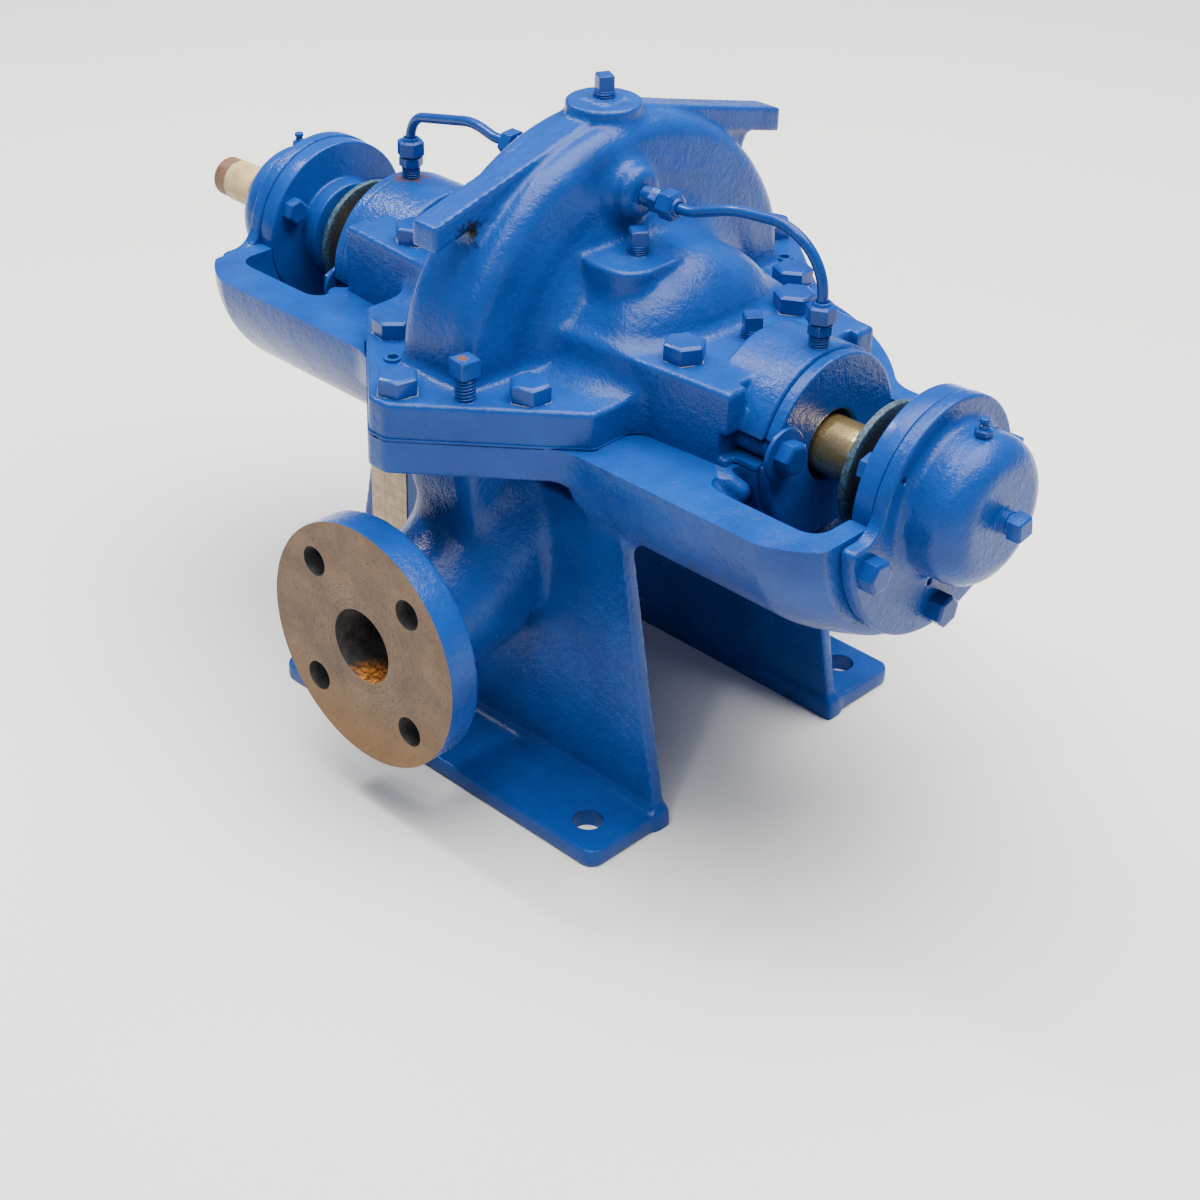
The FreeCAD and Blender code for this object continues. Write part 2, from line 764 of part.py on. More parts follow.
def make_housing(side):
    """Bearing housing: a round box held in the arm end, open towards its cover."""
    x0 = housing_inboard_x
    length = arm_end_x - x0
    shell = rod(housing_radius, V(x0, 0, 0), X_DIR, length)
    hub = rod(housing_hub_radius, V(x0 - housing_hub_length, 0, 0), X_DIR, housing_hub_length)
    body = fuse([shell, hub])
    body = body.cut(rod(shaft_radius + housing_bore_gap, V(0, 0, 0), X_DIR, far_reach))
    return body if side > 0 else mirror_x(body)


def cover_profile(open_radius):
    """The bearing cover and its cap, turned about the shaft."""
    x0 = arm_end_x + cover_gap
    x1 = x0 + cover_flange_thickness
    points = [(x0, open_radius, 0.0), (x0, cover_flange_radius, 0.0),
              (x1, cover_flange_radius, cover_edge_radius), (x1, cap_radius, cap_root_radius),
              (cap_end_x, cap_radius, cap_end_radius),
              (cap_end_x, open_radius, 0.0)]
    return revolve_profile(rounded_outline(points))


def cover_foot():
    """Lower flange of the cover with concave blends up to its round rim."""
    x0 = arm_end_x + cover_gap
    disc = rod(cover_foot_radius, V(x0, 0, 0), X_DIR, cover_flange_thickness)
    disc = disc.common(box(x0 - far_margin, x0 + cover_flange_thickness + far_margin,
                           -far_reach, far_reach, -far_reach, -cover_foot_drop))
    rim = rod(cover_flange_radius, V(x0, 0, 0), X_DIR, cover_flange_thickness)
    body = fuse([disc, rim])

    def blend_edge(edge):
        centre = edge.CenterOfMass
        along = edge.BoundBox.XLength > cover_flange_thickness - edge_tolerance
        at_top = abs(centre.z + cover_foot_drop) < edge_tolerance
        return along and at_top and abs(centre.y) < cover_flange_radius + edge_tolerance
    return fillet_where(body, cover_foot_blend, blend_edge)


def make_cover(side):
    """Bearing cover with its larger lower flange; the drive one is open for the shaft."""
    x0 = arm_end_x + cover_gap
    if side < 0:
        open_radius = shaft_radius + cover_seal_gap
        bore_radius = open_radius
        bore_length = far_reach
    else:
        open_radius = plug_thread_radius + drill_clearance
        bore_radius = cap_inner_radius
        bore_length = shaft_inner_end_x - x0 + cap_inner_gap
    body = fuse([cover_profile(open_radius), cover_foot()])
    cuts = [rod(bore_radius, V(x0 - far_margin, 0, 0), X_DIR, bore_length + far_margin),
            rod(nipple_stem_radius + nipple_bore_gap, V(grease_nipple_x, 0, cap_radius - nipple_depth),
                Z_DIR, far_reach)]
    for start, direction in bearing_bolt_holes():
        if direction.x > 0:
            cuts.append(rod(bearing_bolt_radius + drill_clearance, start, direction, far_reach))
    body = body.cut(cuts)
    return body if side > 0 else mirror_x(body)


def make_gland(side):
    """Gland: a disc outside the stuffing box with a nose that enters it."""
    x0 = collar_end_x + gland_seat_gap
    disc = rod(gland_radius, V(x0, 0, 0), X_DIR, gland_thickness)
    nose = rod(stuffing_bore_radius - gland_nose_clearance, V(x0 - gland_nose_length, 0, 0), X_DIR,
               gland_nose_length + gland_thickness)
    body = fuse([disc, nose])
    if side < 0:
        body = mirror_x(body)
    return body.cut([shaft_core(gland_bore_radius), stud_slot(side, 1.0), stud_slot(side, -1.0)])


def make_gland_bolts(side):
    """Two studs with washer and hexagon head that hold a gland."""
    x_root = block_end_x + stud_root_gap + stud_end_gap
    x_face = collar_end_x + gland_seat_gap + gland_thickness
    bolts = []
    for sy in (-1.0, 1.0):
        y = sy * stud_y
        z = stud_level(side, sy)
        shank = rod(stud_radius, V(x_root, y, z), X_DIR, x_face - x_root + washer_thickness)
        washer = rod(washer_radius, V(x_face, y, z), X_DIR, washer_thickness)
        head = hexagon(gland_head_flats, V(x_face + washer_thickness, y, z), X_DIR, gland_head_height)
        bolts.append(fuse([shank, washer, head]))
    body = Part.makeCompound(bolts)
    return body if side > 0 else mirror_x(body)


def make_casing_bolts():
    bolts = []
    for x, y, top in casing_bolt_places():
        seat = top + (gasket_thickness / 2.0 if top == split_flange_thickness else 0.0)
        head = hexagon(casing_bolt_flats, V(x, y, seat), Z_DIR, casing_bolt_head_height)
        shank = rod(casing_bolt_radius, V(x, y, -casing_bolt_grip), Z_DIR, seat + casing_bolt_grip)
        bolts.append(fuse([head, shank]))
    return Part.makeCompound(bolts)


def make_jackscrews():
    screws = []
    seat = split_flange_thickness + gasket_thickness / 2.0
    for sign in (-1.0, 1.0):
        x = -sign * jackscrew_x
        y = sign * jackscrew_y
        shank = rod(jackscrew_radius, V(x, y, gasket_thickness), Z_DIR, seat + jackscrew_stand)
        head = square(jackscrew_head_flats, V(x, y, seat + jackscrew_stand), Z_DIR, jackscrew_head_height,
                      jackscrew_turn)
        screws.append(fuse([shank, head]))
    return Part.makeCompound(screws)


def plug(x, y, seat, turn):
    """Square head pipe plug screwed down to a seat height."""
    thread = rod(plug_thread_radius, V(x, y, seat - plug_tap_depth + plug_end_gap), Z_DIR,
                 plug_tap_depth - plug_end_gap + plug_thread_stand)
    head = square(plug_head_flats, V(x, y, seat + plug_thread_stand), Z_DIR, plug_head_height, turn)
    return fuse([thread, head])


def tube_ends():
    """Where the flush tube leaves the volute fitting and enters the collar fitting."""
    fitting_length = fitting_thread_length + fitting_hex_length + fitting_nut_length
    start = V(tap_boss_x + fitting_length, tap_boss_y, tap_boss_z)
    end = V(collar_tap_x, 0, collar_radius + fitting_length)
    return start, end


def tube_route(straight, middle_reach, middle_rise, last_stand):
    """Corners of a flush tube between its two ends."""
    start, end = tube_ends()
    first = start + X_DIR * straight
    last = end + Z_DIR * last_stand
    share = (middle_reach - straight) / (last.x - first.x)
    middle = V(start.x + middle_reach, start.y + (end.y - start.y) * share,
               (first.z + last.z) / 2.0 + middle_rise)
    return [start - X_DIR * tube_end_depth, first, middle, last, end - Z_DIR * tube_end_depth]


def make_flush_tube(side):
    """Copper tube of straight runs and tangent bends from the volute to the collar."""
    if side > 0:
        line = tube_route(outer_tube_straight, outer_tube_middle_reach, outer_tube_middle_rise,
                          outer_tube_last_stand)
        radii = (outer_tube_first_radius, outer_tube_middle_radius, outer_tube_last_radius)
    else:
        line = tube_route(drive_tube_straight, drive_tube_middle_reach, drive_tube_middle_rise,
                          drive_tube_last_stand)
        radii = (drive_tube_first_radius, drive_tube_middle_radius, drive_tube_last_radius)
    edges = []
    last = line[0]
    for i, radius in enumerate(radii):
        arc = corner_arc(line[i], line[i + 1], line[i + 2], radius)
        edges.append(Part.makeLine(last, arc[0]))
        edges.append(Part.Arc(*arc).toShape())
        last = arc[2]
    edges.append(Part.makeLine(last, line[-1]))
    section = Part.Face(Part.Wire([Part.makeCircle(tube_radius, line[0], X_DIR)]))
    body = Part.Wire(edges).makePipe(section)
    return body if side > 0 else mirror_x(body)


def fitting(start, direction):
    """Threaded stub, hexagon and tube nut, in line."""
    along = V(direction)
    thread = rod(fitting_thread_radius, start - along * fitting_thread_depth, along,
                 fitting_thread_depth + fitting_thread_length)
    hex_start = start + along * fitting_thread_length
    body = hexagon(fitting_hex_flats, hex_start, along, fitting_hex_length)
    nut_start = hex_start + along * (fitting_hex_length + fitting_neck_length)
    neck = rod(fitting_neck_radius, hex_start, along, fitting_hex_length + fitting_nut_length)
    nut = hexagon(fitting_nut_flats, nut_start, along, fitting_nut_length - fitting_neck_length)
    return fuse([thread, body, neck, nut])


def make_tube_fittings(side):
    start, end = tube_ends()
    volute_fitting = fitting(V(tap_boss_x, tap_boss_y, tap_boss_z), X_DIR)
    collar_fitting = fitting(V(collar_tap_x, 0, collar_radius), Z_DIR)
    reach = tube_end_depth + tube_fit_gap
    bores = [rod(tube_radius + tube_fit_gap, start - X_DIR * reach, X_DIR, far_margin),
             rod(tube_radius + tube_fit_gap, end - Z_DIR * reach, Z_DIR, far_margin)]
    body = Part.makeCompound([volute_fitting.cut(bores), collar_fitting.cut(bores)])
    return body if side > 0 else mirror_x(body)


def make_bearing_bolts(side):
    """Hexagon bolts through the cover flange, and one on the inboard face."""
    seat = arm_end_x + cover_gap + cover_flange_thickness
    bolts = []
    for start, direction in bearing_bolt_holes():
        if direction.x > 0:
            shank = rod(bearing_bolt_radius, start + X_DIR * bolt_end_gap, X_DIR, seat - start.x)
            head = hexagon(bearing_bolt_flats, V(seat, start.y, start.z), X_DIR, bearing_bolt_head_height)
            bolts.append(fuse([shank, head]))
    y = housing_bolt_circle * math.cos(math.radians(housing_bolt_angle))
    z = housing_bolt_circle * math.sin(math.radians(housing_bolt_angle))
    bolts.append(hexagon(housing_bolt_flats, V(housing_inboard_x, y, z), V(-1, 0, 0),
                         housing_bolt_head_height))
    body = Part.makeCompound(bolts)
    return body if side > 0 else mirror_x(body)


def make_grease_nipples():
    nipples = []
    for side in (-1.0, 1.0):
        seat = V(side * grease_nipple_x, 0, cap_radius)
        stem = rod(nipple_stem_radius, seat - Z_DIR * nipple_depth, Z_DIR, nipple_depth + nipple_hex_length)
        body = hexagon(nipple_flats, seat + Z_DIR * nipple_seat_gap, Z_DIR, nipple_hex_length)
        ball = rod(nipple_ball_radius, seat + Z_DIR * nipple_hex_length, Z_DIR,
                   nipple_height - nipple_hex_length)
        nipples.append(fuse([stem, body, ball]))
    return Part.makeCompound(nipples)


def make_end_plug():
    """Square head plug in the middle of the closed cap."""
    stub = rod(plug_thread_radius, V(cap_end_x - plug_tap_depth, 0, 0), X_DIR,
               plug_tap_depth + plug_thread_stand)
    head = square(end_plug_flats, V(cap_end_x + plug_thread_stand, 0, 0), X_DIR, end_plug_head_height,
                  end_plug_turn)
    return fuse([stub, head])


def make_shaft():
    """Shaft with a slightly smaller tip at the drive end."""
    body = rod(shaft_radius, V(shaft_tip_length - shaft_end_x, 0, 0), X_DIR,
               shaft_end_x - shaft_tip_length + shaft_inner_end_x)
    tip = rod(shaft_tip_radius, V(-shaft_end_x, 0, 0), X_DIR, shaft_tip_length + far_margin)
    return fuse([body, tip])


def make_sleeve(side):
    tube = rod(sleeve_radius, V(sleeve_start_x, 0, 0), X_DIR, sleeve_end_x - sleeve_start_x)
    tube = tube.cut(rod(shaft_radius + running_gap, V(0, 0, 0), X_DIR, far_reach))
    return tube if side > 0 else mirror_x(tube)


def make_slinger(side):
    """Rubber disc with a short hub, pushed on the sleeve."""
    x0 = outer_slinger_x if side > 0 else drive_slinger_x
    ring = rod(slinger_radius, V(x0, 0, 0), X_DIR, slinger_thickness)
    hub = rod(slinger_hub_radius, V(x0, 0, 0), X_DIR, slinger_thickness + slinger_hub_length)
    body = fuse([ring, hub]).cut(rod(sleeve_radius + running_gap, V(0, 0, 0), X_DIR, far_reach))
    return body if side > 0 else mirror_x(body)


def make_wrap():
    """Band of tape round the shaft end."""
    tube = rod(shaft_radius + wrap_thickness, V(-wrap_start_x - wrap_length, 0, 0), X_DIR, wrap_length)
    return tube.cut(rod(shaft_radius, V(-far_reach, 0, 0), X_DIR, far_reach))


def make_nameplate():
    y = -foot_web_y - foot_web_thickness - plate_thickness
    return box(-plate_centre_x - plate_width / 2.0, -plate_centre_x + plate_width / 2.0,
               y, y + plate_thickness,
               -plate_centre_drop - plate_height / 2.0, -plate_centre_drop + plate_height / 2.0)


def write(name, shape):
    placed = shape.copy()
    placed.translate(V(0, 0, shaft_height))
    placed.exportStep(os.path.join("parts", name + ".step"))


def main():
    os.makedirs("parts", exist_ok=True)
    write("lower_casing", make_lower_casing())
    write("upper_casing", make_upper_casing())
    write("casing_gasket", make_gasket())
    for side, label in ((-1.0, "drive"), (1.0, "outer")):
        write(label + "_bearing_housing", make_housing(side))
        write(label + "_bearing_cover", make_cover(side))
        write(label + "_bearing_bolts", make_bearing_bolts(side))
        write(label + "_gland", make_gland(side))
        write(label + "_gland_bolts", make_gland_bolts(side))
        write(label + "_sleeve", make_sleeve(side))
        write(label + "_slinger", make_slinger(side))
        write(label + "_flush_tube", make_flush_tube(side))
        write(label + "_tube_fittings", make_tube_fittings(side))
    write("shaft", make_shaft())
    write("shaft_wrap", make_wrap())
    write("casing_bolts", make_casing_bolts())
    write("jackscrews", make_jackscrews())
    write("top_plug", plug(0.0, 0.0, top_boss_top, top_plug_turn))
    write("pad_plugs", Part.makeCompound([plug(side * pad_plug_x, -pad_plug_y, pad_top, pad_plug_turn)
                                          for side in (-1.0, 1.0)]))
    write("block_plugs", Part.makeCompound([plug(side * block_plug_x, 0.0, block_top, block_plug_turn)
                                            for side in (-1.0, 1.0)]))
    write("grease_nipples", make_grease_nipples())
    write("end_plug", make_end_plug())
    write("nameplate", make_nameplate())


main()
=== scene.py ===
import json
import math

import bmesh
import bpy
import numpy as np
from mathutils import Matrix, Vector


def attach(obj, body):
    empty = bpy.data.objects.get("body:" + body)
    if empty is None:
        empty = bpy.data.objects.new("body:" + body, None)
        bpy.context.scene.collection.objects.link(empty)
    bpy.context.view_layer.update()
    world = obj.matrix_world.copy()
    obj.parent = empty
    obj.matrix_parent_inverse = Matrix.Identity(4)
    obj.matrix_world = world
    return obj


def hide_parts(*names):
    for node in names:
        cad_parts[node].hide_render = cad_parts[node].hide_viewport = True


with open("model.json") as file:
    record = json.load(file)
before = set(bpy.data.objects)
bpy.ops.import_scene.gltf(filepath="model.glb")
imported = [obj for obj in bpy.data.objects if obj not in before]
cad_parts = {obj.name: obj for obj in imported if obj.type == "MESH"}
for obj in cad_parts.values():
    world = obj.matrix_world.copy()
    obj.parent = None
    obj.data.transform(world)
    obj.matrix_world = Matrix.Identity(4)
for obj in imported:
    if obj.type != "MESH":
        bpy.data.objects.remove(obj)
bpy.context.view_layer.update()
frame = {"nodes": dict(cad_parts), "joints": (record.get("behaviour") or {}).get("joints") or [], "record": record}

# Sizes are in metres. Castings are worked out about the shaft axis and then lifted to it.
SHAFT_Z = frame["joints"][0]["pos_m"][2]
STEP = 0.0017

# Split flange and gasket
FLANGE_THICK = 0.0215
FLANGE_OUTLINE = ((-0.007, -0.178), (0.007, -0.178), (0.096, -0.102), (0.096, 0.102),
                  (0.007, 0.178), (-0.007, 0.178), (-0.096, 0.102), (-0.096, -0.102))
FLANGE_CORNER = 0.007
FLANGE_BACK = 0.0009
GASKET = 0.001

# Volute and suction chambers
VOLUTE_R = 0.145
VOLUTE_HALF = 0.0275
WEB_HALF = 0.024
CHEEK_HALF = 0.043
VOLUTE_SIDE_Y = 0.135
CHAMBER_R = 0.082
CHAMBER_HALF = 0.102

# Bosses and pads that take plugs and tubes
BOSS_R = 0.0225
BOSS_TOP = 0.1525
PAD_AT = (0.050, -0.028)
PAD_PLUG_AT = (0.053, -0.025)
PAD_TOP = 0.0815
TAP_AT = (-0.011, 0.110)
TAP_FACE = 0.044
COLLAR_TAP_X = 0.167
BLOCK_PLUG_X = 0.1195

# Lifting horns
HORN_ROOT = 0.152
HORN_SLOPE = 0.262
HORN_HALF = 0.0095
HORN_DEPTH = 0.0147
HORN_REACH = ((-1, 0.140), (1, 0.150))

# Stuffing box blocks and collars
BLOCK_TOP = 0.044
BLOCK_END = 0.158
BLOCK_END_Y = 0.0635
BLOCK_MIDDLE_Y = 0.076
BLOCK_OUTLINE = ((-BLOCK_END, -BLOCK_END_Y), (0.0, -BLOCK_MIDDLE_Y), (BLOCK_END, -BLOCK_END_Y),
                 (BLOCK_END, BLOCK_END_Y), (0.0, BLOCK_MIDDLE_Y), (-BLOCK_END, BLOCK_END_Y))
COLLAR_R = 0.056
COLLAR_START = 0.155
COLLAR_END = 0.174

# Pipe nozzles
PIPE_DROP = 0.134
PIPE_FACE = 0.1935
PIPE_FLANGE_R = 0.0778
PIPE_FLANGE_THICK = 0.0206
PIPE_BORE_R = 0.0237
PIPE_CIRCLE = 0.05715
PIPE_HOLE_R = 0.0095
NECK_R = 0.037

# Feet
WEB_Y = (0.078, 0.087)
WEB_TOP = -0.050
FOOT_THICK = 0.0115
FOOT_HOLE = (0.116, 0.120)
FOOT_HOLE_R = 0.0095

# Bearing ends
ARM_START = 0.080
ARM_NARROWS = 0.222
ARM_END = 0.253
ARM_HALF_WIDTH = 0.113
ARM_DEPTH = 0.088
ARM_REAR_Y = 0.086
WELL_START = 0.161
HOUSING_SEAT_R = 0.0572
HOUSING_R = 0.0570
HUB_R = 0.0325
HOUSING_START = 0.2405
COVER_R = 0.058
COVER_START = 0.2532
COVER_FACE = 0.2625
CAP_END = 0.298
CAP_R = 0.0435
COVER_BOLT_CIRCLE = 0.070
COVER_BOLT_ANGLES = (196, 270, 344)
COVER_TAPS = ((-0.043, 0.026), (0.037, 0.026), (-0.0085, -0.0505))

# Rotor
SHAFT_R = 0.0141
SHAFT_TIP = -0.3595
TAPE_ENDS = (-0.3470, -0.3110)
TAPE_WORN_X = -0.3195
SLINGER_START = {"outer": 0.2178, "drive": 0.2074}
SLINGER_R = 0.0400

# Glands
GLAND_START = 0.1743
GLAND_FACE = 0.1823
GLAND_R = 0.0543
GLAND_BORE_R = 0.021
STUD_AT = (0.045, 0.011)
STUD_R = 0.006
STUD_SLOT = 0.0075
STUFFING_R = 0.029

# Casing fasteners: (x, y) of each and the height it seats at
FLANGE_TOP = FLANGE_THICK + GASKET / 2
TIP_BOLT_Y = 0.161
SIDE_BOLT = (0.057, 0.1135)
BLOCK_BOLT = (0.111, 0.0475)
JACK_AT = (0.033, 0.1405)
JACK_R = 0.0062
DOWEL_AT = (0.031, 0.137)
DOWEL_R = 0.0042

# Nameplate, on the front web at the drive end, as (x, z)
PLATE_AT = (-0.095, -0.118)
PLATE_HALF = (0.0165, 0.031)

# Finishes
CAST_BLUE = (0.004, 0.050, 0.27, 1)
BOLT_BLUE = (0.004, 0.045, 0.25, 1)
TUBE_BLUE = (0.004, 0.042, 0.23, 1)
RUST = (0.10, 0.045, 0.020, 1)
BOLT_RUST = (0.13, 0.06, 0.035, 1)
SOOT = (0.008, 0.006, 0.006, 1)


# Distance fields

def hyp(a, b):
    return np.sqrt(a * a + b * b)


def join(a, b, r):
    """Union of two distance fields with a concave fillet of radius r."""
    if r <= 0:
        return np.minimum(a, b)
    return np.maximum(r, np.minimum(a, b)) - hyp(np.maximum(r - a, 0), np.maximum(r - b, 0))


def meet(a, b, r):
    """Intersection of two distance fields with an edge rounded to radius r."""
    if r <= 0:
        return np.maximum(a, b)
    return np.minimum(-r, np.maximum(a, b)) + hyp(np.maximum(a + r, 0), np.maximum(b + r, 0))


def between(v, low, high):
    return np.abs(v - (low + high) / 2) - (high - low) / 2


def drum(x, y, z, radius, start, end, edge):
    """Round bar along the shaft from start to end."""
    return meet(hyp(y, z) - radius, between(x, start, end), edge)


def polygon(u, v, points):
    """Signed distance to a closed outline."""
    best = None
    inside = None
    for i, (ax, ay) in enumerate(points):
        bx, by = points[i - 1]
        ex, ey = bx - ax, by - ay
        wx, wy = u - ax, v - ay
        t = np.clip((wx * ex + wy * ey) / (ex * ex + ey * ey), 0, 1)
        d = (wx - ex * t) ** 2 + (wy - ey * t) ** 2
        crosses = ((v >= ay) != (v >= by)) & ((wx < ex * wy / ey) if ey else np.zeros_like(d, bool))
        best = d if best is None else np.minimum(best, d)
        inside = crosses if inside is None else inside ^ crosses
    return np.where(inside, -1.0, 1.0) * np.sqrt(best)


def capsule(x, y, z, a, b, ra, rb):
    """Tapering bar between two points with round ends."""
    e = [q - p for p, q in zip(a, b)]
    w = (x - a[0], y - a[1], z - a[2])
    t = np.clip((w[0] * e[0] + w[1] * e[1] + w[2] * e[2]) / sum(c * c for c in e), 0, 1)
    d = np.sqrt((w[0] - e[0] * t) ** 2 + (w[1] - e[1] * t) ** 2 + (w[2] - e[2] * t) ** 2)
    return d - (ra + (rb - ra) * t)


class Casting:
    """A distance field on a grid, added to piece by piece and then turned into a mesh."""

    def __init__(self, low, high, step):
        self.step = step
        self.axes = [np.arange(a, b + step, step, dtype=np.float32) for a, b in zip(low, high)]
        self.d = np.full([len(a) for a in self.axes], 1.0, np.float32)

    def window(self, low, high, margin):
        parts = []
        for axis, a, b in zip(self.axes, low, high):
            i = int(np.searchsorted(axis, a - margin))
            j = int(np.searchsorted(axis, b + margin))
            parts.append(slice(max(i - 1, 0), min(j + 1, len(axis))))
        x, y, z = (axis[s] for axis, s in zip(self.axes, parts))
        return tuple(parts), x[:, None, None], y[None, :, None], z[None, None, :]

    def add(self, shape, low, high, fillet=0.0):
        part, x, y, z = self.window(low, high, fillet + 3 * self.step)
        self.d[part] = join(self.d[part], shape(x, y, z), fillet)

    def cut(self, shape, low, high, edge=0.0):
        part, x, y, z = self.window(low, high, edge + 3 * self.step)
        self.d[part] = meet(self.d[part], -shape(x, y, z), edge)

    def settle(self, points):
        """Move points, in cells, along the field's slope onto the surface itself."""
        top = np.array(self.d.shape) - 2
        for _ in range(3):
            cell = np.clip(points.astype(int), 0, top)
            t = points - cell
            value = 0.0
            slope = np.zeros_like(points)
            for corner in np.ndindex(2, 2, 2):
                d = self.d[tuple((cell + corner).T)]
                part = np.where(np.array(corner) == 1, t, 1 - t)
                value = value + d * part.prod(1)
                for axis in range(3):
                    others = np.delete(part, axis, 1).prod(1)
                    slope[:, axis] += d * others * (1 if corner[axis] else -1)
            move = slope * (value / np.maximum((slope ** 2).sum(1), (0.3 * self.step) ** 2))[:, None]
            points = points - np.clip(move, -0.25, 0.25)
        return points

    def mesh(self, name):
        """Surface net: one point in each cell that the surface passes, one quad across each edge."""
        d = self.d
        for axis in range(3):
            for end in (0, -1):
                np.moveaxis(d, axis, 0)[end] = np.maximum(np.moveaxis(d, axis, 0)[end], self.step)
        inside = d < 0
        count = np.zeros([n - 1 for n in d.shape], np.int8)
        corners = [(i, j, k) for i in (0, 1) for j in (0, 1) for k in (0, 1)]
        for i, j, k in corners:
            count += inside[i:count.shape[0] + i, j:count.shape[1] + j, k:count.shape[2] + k]
        cells = np.argwhere((count > 0) & (count < 8))
        number = np.full(count.shape, -1, np.int32)
        number[tuple(cells.T)] = np.arange(len(cells))
        total = np.zeros((len(cells), 3))
        hits = np.zeros(len(cells))
        for a in corners:
            for axis in range(3):
                if a[axis]:
                    continue
                b = list(a)
                b[axis] = 1
                da = d[tuple((cells + a).T)]
                db = d[tuple((cells + b).T)]
                crossing = (da < 0) != (db < 0)
                t = np.where(crossing, da / np.where(crossing, da - db, 1), 0)
                point = np.array(a, float) + np.outer(t, np.array(b) - np.array(a))
                total += point * crossing[:, None]
                hits += crossing
        points = self.settle(cells + total / hits[:, None])
        points = points * self.step + np.array([axis[0] for axis in self.axes])
        quads = []
        for axis in range(3):
            lower = [slice(None)] * 3
            upper = [slice(None)] * 3
            lower[axis] = slice(0, -1)
            upper[axis] = slice(1, None)
            change = inside[tuple(lower)] != inside[tuple(upper)]
            u, v = [(1, 2), (2, 0), (0, 1)][axis]
            at = np.argwhere(change)
            keep = (at[:, u] > 0) & (at[:, v] > 0)
            keep &= (at[:, u] < d.shape[u] - 1) & (at[:, v] < d.shape[v] - 1)
            at = at[keep]
            ring = []
            for du, dv in ((-1, -1), (0, -1), (0, 0), (-1, 0)):
                cell = at.copy()
                cell[:, u] += du
                cell[:, v] += dv
                ring.append(number[tuple(cell.T)])
            quad = np.stack(ring, 1)
            flip = ~inside[tuple(at.T)]
            quad[flip] = quad[flip][:, ::-1]
            quads.append(quad)
        quads = np.concatenate(quads)
        mesh = bpy.data.meshes.new(name)
        mesh.vertices.add(len(points))
        mesh.vertices.foreach_set("co", points.astype(np.float32).ravel())
        mesh.loops.add(quads.size)
        mesh.loops.foreach_set("vertex_index", quads.astype(np.int32).ravel())
        mesh.polygons.add(len(quads))
        mesh.polygons.foreach_set("loop_start", np.arange(0, quads.size, 4, dtype=np.int32))
        mesh.update(calc_edges=True)
        mesh.validate()
        return mesh


# Mesh helpers

def place(name, mesh, *materials, lift=True):
    """Give a mesh an object, lifted from the shaft axis to its height."""
    if lift:
        mesh.transform(Matrix.Translation((0, 0, SHAFT_Z)))
    piece = bpy.data.objects.new(name, mesh)
    bpy.context.scene.collection.objects.link(piece)
    for material in materials:
        mesh.materials.append(material)
    return piece


def smooth(mesh, angle):
    """Smooth shading with hard edges where faces meet at more than the angle."""
    bm = bmesh.new()
    bm.from_mesh(mesh)
    limit = math.radians(angle)
    for face in bm.faces:
        face.smooth = True
    for edge in bm.edges:
        edge.smooth = len(edge.link_faces) == 2 and edge.calc_face_angle(0.0) < limit
    bm.to_mesh(mesh)
    bm.free()


def from_bmesh(name, bm):
    mesh = bpy.data.meshes.new(name)
    bm.to_mesh(mesh)
    bm.free()
    return mesh


def meshed(fill):
    """Make a function that fills a bmesh into one that returns its mesh, named after it."""
    def made(*values):
        bm = bmesh.new()
        fill(bm, *values)
        return from_bmesh(fill.__name__, bm)
    return made


def modified(name, mesh, kind, **settings):
    """The mesh that one modifier makes of another."""
    body = bpy.data.objects.new(name + "_raw", mesh)
    bpy.context.scene.collection.objects.link(body)
    modifier = body.modifiers.new(kind, kind)
    for key, value in settings.items():
        setattr(modifier, key, value)
    bpy.context.view_layer.update()
    shape = bpy.data.meshes.new_from_object(body.evaluated_get(bpy.context.evaluated_depsgraph_get()))
    bpy.data.objects.remove(body)
    shape.materials.clear()
    shape.name = name
    return shape


def thinned(name, mesh, limit):
    """A mesh with no more than so many triangles."""
    triangles = sum(len(face.vertices) - 2 for face in mesh.polygons)
    if triangles <= limit:
        return mesh
    return modified(name, mesh, "DECIMATE", ratio=limit / triangles, use_collapse_triangulate=True)


def drill(name, mesh, *tools):
    """Cut machined holes and faces out of a casting, one set of tools after another."""
    for tool_mesh in tools:
        tool = bpy.data.objects.new(name + "_tool", tool_mesh)
        bpy.context.scene.collection.objects.link(tool)
        mesh = modified(name, mesh, "BOOLEAN", operation="DIFFERENCE", object=tool, solver="MANIFOLD")
        bpy.data.objects.remove(tool)
    return mesh


def add_rod(bm, start, direction, length, radius, sides=48):
    """A closed cylinder from start along a direction."""
    turn = Vector(direction).to_track_quat("Z", "Y").to_matrix().to_4x4()
    middle = Vector(start) + Vector(direction).normalized() * (length / 2)
    bmesh.ops.create_cone(bm, cap_ends=True, segments=sides, radius1=radius, radius2=radius, depth=length,
                          matrix=Matrix.Translation(middle) @ turn)


def add_box(bm, low, high):
    """A closed box of many small squares, so that a face it cuts isn't one large polygon."""
    size = [b - a for a, b in zip(low, high)]
    middle = [(a + b) / 2 for a, b in zip(low, high)]
    where = Matrix.Translation(middle) @ Matrix.Diagonal((*size, 1.0))
    made = bmesh.ops.create_cube(bm, size=1.0, matrix=where)
    edges = {edge for vertex in made["verts"] for edge in vertex.link_edges}
    bmesh.ops.subdivide_edges(bm, edges=list(edges), cuts=40, use_grid_fill=True)


# Castings

